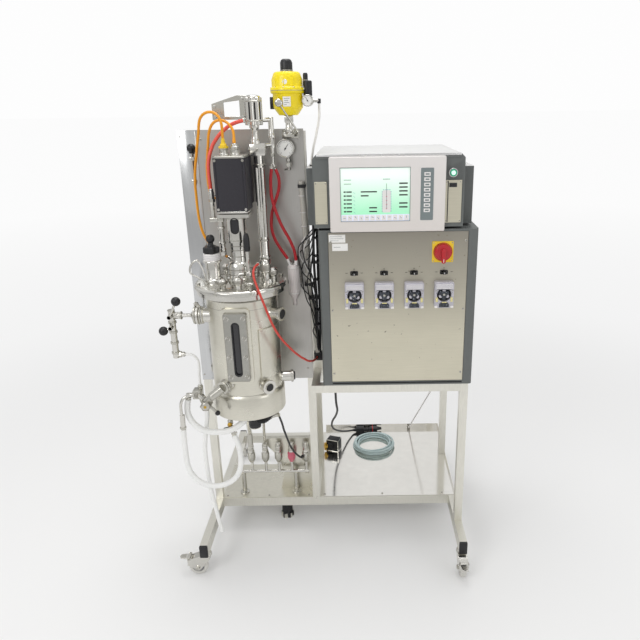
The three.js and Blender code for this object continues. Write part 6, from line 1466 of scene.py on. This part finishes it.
def actuator():
    piece = Piece("actuator_look")
    x, y = -229, 118
    piece.turned((x, y, 0), [(0, 1717), (32, 1717), (34, 1720), (50, 1742), (50.2, 1785), (57, 1787.6),
                             (57.2, 1804),
                             (50.2, 1808), (50, 1834), (44, 1850), (38, 1854), (0, 1854)], ACTUATOR, UP, 96,
                             1.2)
    piece.turned((x, y, 1794.6), sleeve(56, 57.4, 1.6), DULL, UP, 96, 0)
    for k in range(10):
        a = math.radians(36 * k + 10)
        piece.hexagon((*polar(x, y, 53.6, a), 1803.6), UP, 6, 3, STEEL, .4)
        piece.box(span(x + 48.6 * math.cos(a), 6), span(y + 48.6 * math.sin(a), 3), (1808, 1833), ACTUATOR, 1,
                  (36 * k + 10, "Z"))
    piece.turned((x, y, 1852), [(0, 0), (20.3, 0), (20.3, 30), (17, 38), (12, 41.6), (0, 41.6)], BLACK, UP,
                 48, 1)
    piece.turned((x, y, 1856), sleeve(19, 21, 4), DULL, UP, 48, .2)
    piece.box((x - 61, x - 46), span(y + 10, 30), (1737, 1776), BLACK, 2)
    piece.box((x - 12, x + 14), (y - 51.2, y - 49), (1745, 1776), LABEL, .4)
    for k in range(4):
        piece.box((x - 8, x - 8 + (18, 14, 17, 9)[k]), (y - 51.6, y - 51), span(1770 - 6.4 * k, 1.4), KEYPAD,
                  0)
    piece.turned((x - 3, y - 49.2, 1822), disc(8, 1.2), LABEL, FRONT, 28, .2)
    piece.box(span(x, 28), span(y, 28), (1693, 1718), BRIGHT, 2)
    piece.hexagon((x, y - 14, 1705), FRONT, 12, 3, STEEL)
    piece.turned((x, y, 1648), [(0, 0), (12.3, 0), (12.3, 12), (15, 15), (15, 26), (12.3, 29), (12.3, 48),
                                (0, 48)],
                 BRIGHT, UP, 36)
    piece.box((x - 17, x + 17), (106, 161.7), (1646, 1655), STEEL, 1)
    piece.box((x - 30, x + 30), (156.7, 161.7), (1640, 1668), STEEL, 1)
    for side in (-22, 22):
        piece.hexagon((x + side, 156.7, 1654), FRONT, 10, 4, BRIGHT)

    piece.rod((-191, 114, 1800), (-161, 114, 1800), 9.2, BRIGHT)
    piece.hexagon((-178, 114, 1800), RIGHT, 21, 8, STEEL)
    piece.turned((-161, 114, 1776), [(0, 0), (13, 0), (15.2, 3), (15.2, 47), (13, 50), (0, 50)], BLACK, UP,
                 36, .8)
    piece.turned((-167, 114, 1824), [(0, 0), (8.2, 0), (8.2, 20), (6.4, 26), (0, 26)], BLACK, UP, 28, .8)
    piece.turned((-167, 114, 1826), sleeve(7.6, 8.9, 3), DULL, UP, 28, .2)
    piece.rod((-167, 114, 1752), (-167, 114, 1778), 9.1, BRIGHT)
    piece.turned((-161, 124, 1763), [(0, 0), (19.2, 0), (19.2, 39), (17, 40), (17, 37.6), (0, 37.6)], BRIGHT,
                 FRONT, 44, .5)
    dial(piece, (-161, 0, 1763), 18.4, 86.2, 120)
    piece.rod((-150, 114, 1763), (-124, 114, 1763), 6.2, BRIGHT)
    start = Vector(ROUTES["air_line"][2][0])
    ahead = (Vector(ROUTES["air_line"][2][1]) - start).normalized()
    piece.rod(start - 15 * ahead, start + .2 * ahead, 6.2, BLACK)
    piece.rod((-255, 118, 1757), (-255, 64, 1757), 9.2, BRIGHT)
    piece.turned((-255, 66, 1757), [(0, 0), (13, 0), (13, 3), (9, 6), (0, 6)], BRIGHT, FRONT)
    piece.rod((-255, 68, 1757), (-199, 100, 1664), 3.2, STEEL)
    piece.rod((-199, 100, 1664), (-209, 138, 1650), 4.2, STEEL)
    piece.ball((-199, 100, 1664), 5.4, STEEL)
    piece.done(["valve_actuator"])


# ---------------------------------------------------------------- inlet and sampling

def inlet():
    piece = Piece("inlet_look")
    z = 1064
    piece.turned((-546.3, -60, z), [(0, 0), (31, 0), (31, 5), (27, 9), (27, 17), (31, 20), (31, 26), (0, 26)],
                 STEEL, (-1, 0, 0), 44, .8)
    piece.turned((-554, -60, z), [(26, 0), (33, 1), (33, 9), (26, 10), (26, 0)], BRIGHT, (-1, 0, 0), 44, .6)
    piece.rod((-550, -60, 1090), (-568, -60, 1110), 6.2, BRIGHT)
    piece.hexagon((-560, -60, 1101), (-18, 0, 20), 15, 7, STEEL)
    piece.rod((-566, -60, z), (-652, -60, z), 6.7, BRIGHT)
    piece.turned((-572, -60, z), [(0, 0), (20, 0), (9, 12), (0, 12)], BRIGHT, (-1, 0, 0), 36)
    piece.rod((-618, -60, z), (-642, -60, z), 12.2, BRIGHT)
    for x in (-616, -640):
        piece.turned((x, -60, z), disc(14.4, 4), STEEL, (-1, 0, 0), 36)
    piece.rod((-652, -60, 906), (-652, -60, 1082), 11.2, BRIGHT, sides=36)
    for z in (1004, 964, 1040, 926):
        piece.turned((-652, -60, z - 5), [(10, 0), (14.3, 1), (14.3, 9), (10, 10), (10, 0)], STEEL, UP, 36,
                     .5)
    piece.turned((-652, -60, 1081), disc(13, 3.8), STEEL)
    piece.rod((-652, -60, 918), (-622, -60, 918), 9.2, BRIGHT)
    piece.rod((-631.8, -60, 918), (-617.5, -60, 918), 6.2, BRIGHT)
    piece.hexagon((-640, -60, 918), RIGHT, 20, 8, STEEL)
    piece.done(["inlet_pipe"])
    for name, z, dx, dz in (("upper", 1066, 30, 58), ("lower", 1026, -24, -8)):
        lever = Piece(f"lever_{name}_look", f"inlet_lever_{name}")
        lever.rod((-652, -71.6, z), (-652, -93.6, z), 7, BRIGHT, sides=32)
        lever.hexagon((-652, -88, z), FRONT, 13, 5.6, STEEL)
        lever.rod((-652, -88.6, z), (-652 + .8 * dx, -90.6, z + .8 * dz), 4, BRIGHT)
        lever.ball((-652 + dx, -91.6, z + dz), 15.9, BLACK, 36)
        lever.done([f"inlet_lever_{name}"])


def sampling():
    piece = Piece("sampling_look")
    way = outward(-25)
    piece.turned(from_axis(-25, 142, 828), [(0, .3), (23, .3), (24, 4), (21, 7), (24, 9), (23, 14), (0, 14)],
                 STEEL, way, 44, .6)
    piece.rod(from_axis(-25, 155, 828), Vector((-512, -160, 800)), 15, STEEL)
    piece.ball((-512, -160, 800), 15, STEEL)
    piece.rod((-512, -160, 800), (-536, -156, 776), 12.2, STEEL)
    piece.ball((-536, -156, 770), 15, STEEL)
    piece.hexagon((-536, -140, 768), FRONT, 33.4, 20, DULL, 1.6)
    piece.hexagon((-536, -161, 768), FRONT, 32.6, 17, DULL, 1.6)
    piece.turned((-536, -177, 768), [(0, 0), (15, 0), (12, 3), (0, 3)], STEEL, FRONT, 32)
    piece.turned((-536, -180, 768), [(0, 0), (5.4, 0), (4.6, 2), (0, 2.3)], BRASS, FRONT, 20, .2)
    piece.rod((-536, -152, 768), (-588, -76, 768), 9.2, BRIGHT)
    piece.rod((-548, -134.5, 768), (-556, -122.8, 768), 12.4, STEEL)
    piece.box((-602, -570), (-92, -52), (754, 786), STEEL, 3)
    piece.turned((-586, -91.6, 770), [(0, 0), (10, 0), (10, 3), (7, 5), (0, 5)], DULL, FRONT)
    piece.rod((-600, -75, 765), (-622, -75, 765), 8.2, STEEL)
    piece.rod((-572, -70, 760), (-561, -66, 738), 7.2, STEEL)
    piece.rod((-536, -152, 768), (-502, -158, 736), 5.2, STEEL)
    piece.ball((-500, -158, 734), 9.2, BLACK)
    steel = [(-592, -84, 770), (-606, -90, 771), (-622, -95, 769), (-636, -99, 760), (-643, -102, 744),
             (-645, -103, 724), (-645, -103, 697)]
    piece.tube(steel, 5.2, BRIGHT, 14, 4)
    ends = (("inlet_hose", -1, 18, 7, BRIGHT), ("white_hose_a", 0, 22, 9, STEEL),
            ("white_hose_c", 0, 38, 7, BLACK), ("white_hose_b", 0, 58, 9, BRIGHT))
    for name, which, long, radius, material in ends:
        points = [Vector(p) for p in ROUTES[name][2]]
        end, before = (points[0], points[1]) if which == 0 else (points[-1], points[-2])
        toward = (before - end).normalized()
        piece.rod(end - long * toward, end + .2 * toward, radius + .2, material)
        piece.hexagon(end - 11 * toward, toward, 2 * radius + 3.5, 7, STEEL, .6)
    piece.done(["sampling_valve"])


def vessel():
    vessel_body()
    sight_glass()
    lid()
    drive()
    exhaust()
    actuator()
    inlet()
    sampling()


# ---------------------------------------------------------------- floor, background and light

def node_maker(tree):
    def make(kind, **values):
        node = tree.nodes.new(kind)
        for name, value in values.items():
            setattr(node, name, value)
        return node
    return make


def floor_material():
    """A matt pale floor that shows near white to the camera but keeps the shadow of the object."""
    made = bpy.data.materials.new("studio_floor")
    made.use_nodes = True
    tree = made.node_tree
    make, links = node_maker(tree), tree.links
    tree.nodes.clear()
    out = make("ShaderNodeOutputMaterial")
    matt, glow, both = make("ShaderNodeBsdfDiffuse"), make("ShaderNodeEmission"), make("ShaderNodeMixShader")
    matt.inputs["Color"].default_value = (.87, .868, .865, 1)
    rays, share = make("ShaderNodeLightPath"), make("ShaderNodeMath", operation="MULTIPLY")
    place, reach = make("ShaderNodeNewGeometry"), make("ShaderNodeVectorMath")
    depth = make("ShaderNodeMapRange")
    reach.operation = "LENGTH"
    depth.inputs["From Min"].default_value, depth.inputs["From Max"].default_value = 1, 10
    depth.inputs["To Min"].default_value, depth.inputs["To Max"].default_value = .87, .97
    glows = make("ShaderNodeMapRange", interpolation_type="SMOOTHSTEP")
    glows.inputs["From Min"].default_value, glows.inputs["From Max"].default_value = .7, 3.6
    glows.inputs["To Min"].default_value, glows.inputs["To Max"].default_value = .12, 1
    links.new(reach.outputs["Value"], glows.inputs["Value"])
    links.new(glows.outputs["Result"], share.inputs[1])
    links.new(place.outputs["Position"], reach.inputs[0])
    links.new(reach.outputs["Value"], depth.inputs["Value"])
    links.new(depth.outputs["Result"], glow.inputs["Strength"])
    links.new(rays.outputs["Is Camera Ray"], share.inputs[0])
    links.new(share.outputs[0], both.inputs["Fac"])
    links.new(matt.outputs[0], both.inputs[1])
    links.new(glow.outputs[0], both.inputs[2])
    links.new(both.outputs[0], out.inputs["Surface"])
    return made


def background():
    """White to the camera and in the glass; the lighting has it in pale and dim bands round the object."""
    world = bpy.data.worlds.new("studio")
    bpy.context.scene.world = world
    world.use_nodes = True
    tree = world.node_tree
    make, links = node_maker(tree), tree.links
    tree.nodes.clear()
    out, both = make("ShaderNodeOutputWorld"), make("ShaderNodeMixShader")
    plain, shaped = make("ShaderNodeBackground"), make("ShaderNodeBackground")
    plain.inputs["Color"].default_value = (.985, .985, .985, 1)
    place, ramp = make("ShaderNodeTexCoord"), make("ShaderNodeValToRGB")
    split, rays = make("ShaderNodeSeparateXYZ"), make("ShaderNodeLightPath")
    links.new(place.outputs["Generated"], split.inputs["Vector"])
    spin = make("ShaderNodeMath", operation="ARCTAN2")
    turn = make("ShaderNodeMapRange")
    turn.inputs["From Min"].default_value, turn.inputs["From Max"].default_value = -math.pi, math.pi
    links.new(split.outputs["X"], spin.inputs[0])
    links.new(split.outputs["Y"], spin.inputs[1])
    links.new(spin.outputs[0], turn.inputs["Value"])
    links.new(turn.outputs["Result"], ramp.inputs["Fac"])
    tones = [(0, .75), (.09, .7), (.13, .12), (.19, .1), (.25, .85), (.34, .95), (.4, .25), (.47, .3),
             (.5, .9), (.56, .9), (.6, .3), (.68, .95), (.76, .8), (.81, .1), (.87, .12), (.91, .7), (1, .75)]
    while len(ramp.color_ramp.elements) < len(tones):
        ramp.color_ramp.elements.new(.5)
    for element, (position, tone) in zip(ramp.color_ramp.elements, tones):
        element.position, element.color = position, (.86 * tone, .86 * tone, .85 * tone, 1)
    high, over = make("ShaderNodeMapRange"), make("ShaderNodeMix", data_type="RGBA")
    high.inputs["From Min"].default_value, high.inputs["From Max"].default_value = .35, .75
    links.new(split.outputs["Z"], high.inputs["Value"])
    links.new(high.outputs["Result"], over.inputs["Factor"])
    links.new(ramp.outputs["Color"], over.inputs[6])
    over.inputs[7].default_value = (.74, .74, .74, 1)
    links.new(over.outputs[2], shaped.inputs["Color"])
    seen, soft = make("ShaderNodeMath", operation="MAXIMUM"), make("ShaderNodeMath", operation="MULTIPLY_ADD")
    links.new(rays.outputs["Is Camera Ray"], seen.inputs[0])
    links.new(rays.outputs["Is Transmission Ray"], seen.inputs[1])
    links.new(rays.outputs["Is Glossy Ray"], soft.inputs[0])
    soft.inputs[1].default_value = .3
    links.new(seen.outputs[0], soft.inputs[2])
    links.new(soft.outputs[0], both.inputs["Fac"])
    links.new(shaped.outputs[0], both.inputs[1])
    links.new(plain.outputs[0], both.inputs[2])
    links.new(both.outputs[0], out.inputs["Surface"])


def lamp(name, place, aim, size, power, tint=(1, 1, 1)):
    data = bpy.data.lights.new(name, "AREA")
    data.shape, data.size, data.size_y = "RECTANGLE", *size
    data.energy, data.color = power, tint
    made = bpy.data.objects.new(name, data)
    bpy.context.collection.objects.link(made)
    made.location = place
    made.rotation_euler = (Vector(aim) - Vector(place)).to_track_quat("-Z", "Y").to_euler()
    made.visible_camera = False


def studio():
    bpy.ops.mesh.primitive_plane_add(size=400, location=(0, 0, 0))
    floor = bpy.context.object
    floor.name = "studio_floor"
    floor.data.materials.append(floor_material())
    background()
    lamp("key", (-2.6, -3.4, 3.4), (0, 0, .9), (2, 2), 50)
    lamp("fill", (3.2, -2.6, 1.9), (0, 0, .9), (2, 2), 18)
    lamp("top", (0, .1, 4.2), (0, 0, .6), (1.8, 1.8), 50)
    view = bpy.context.scene.view_settings
    view.view_transform = "Standard"


def visual():
    camera()
    cords()
    cable_loom()
    trolley()
    manifold()
    castors()
    back_panel()
    lower_cabinet()
    upper_cabinet()
    vessel()
    studio()


visual()
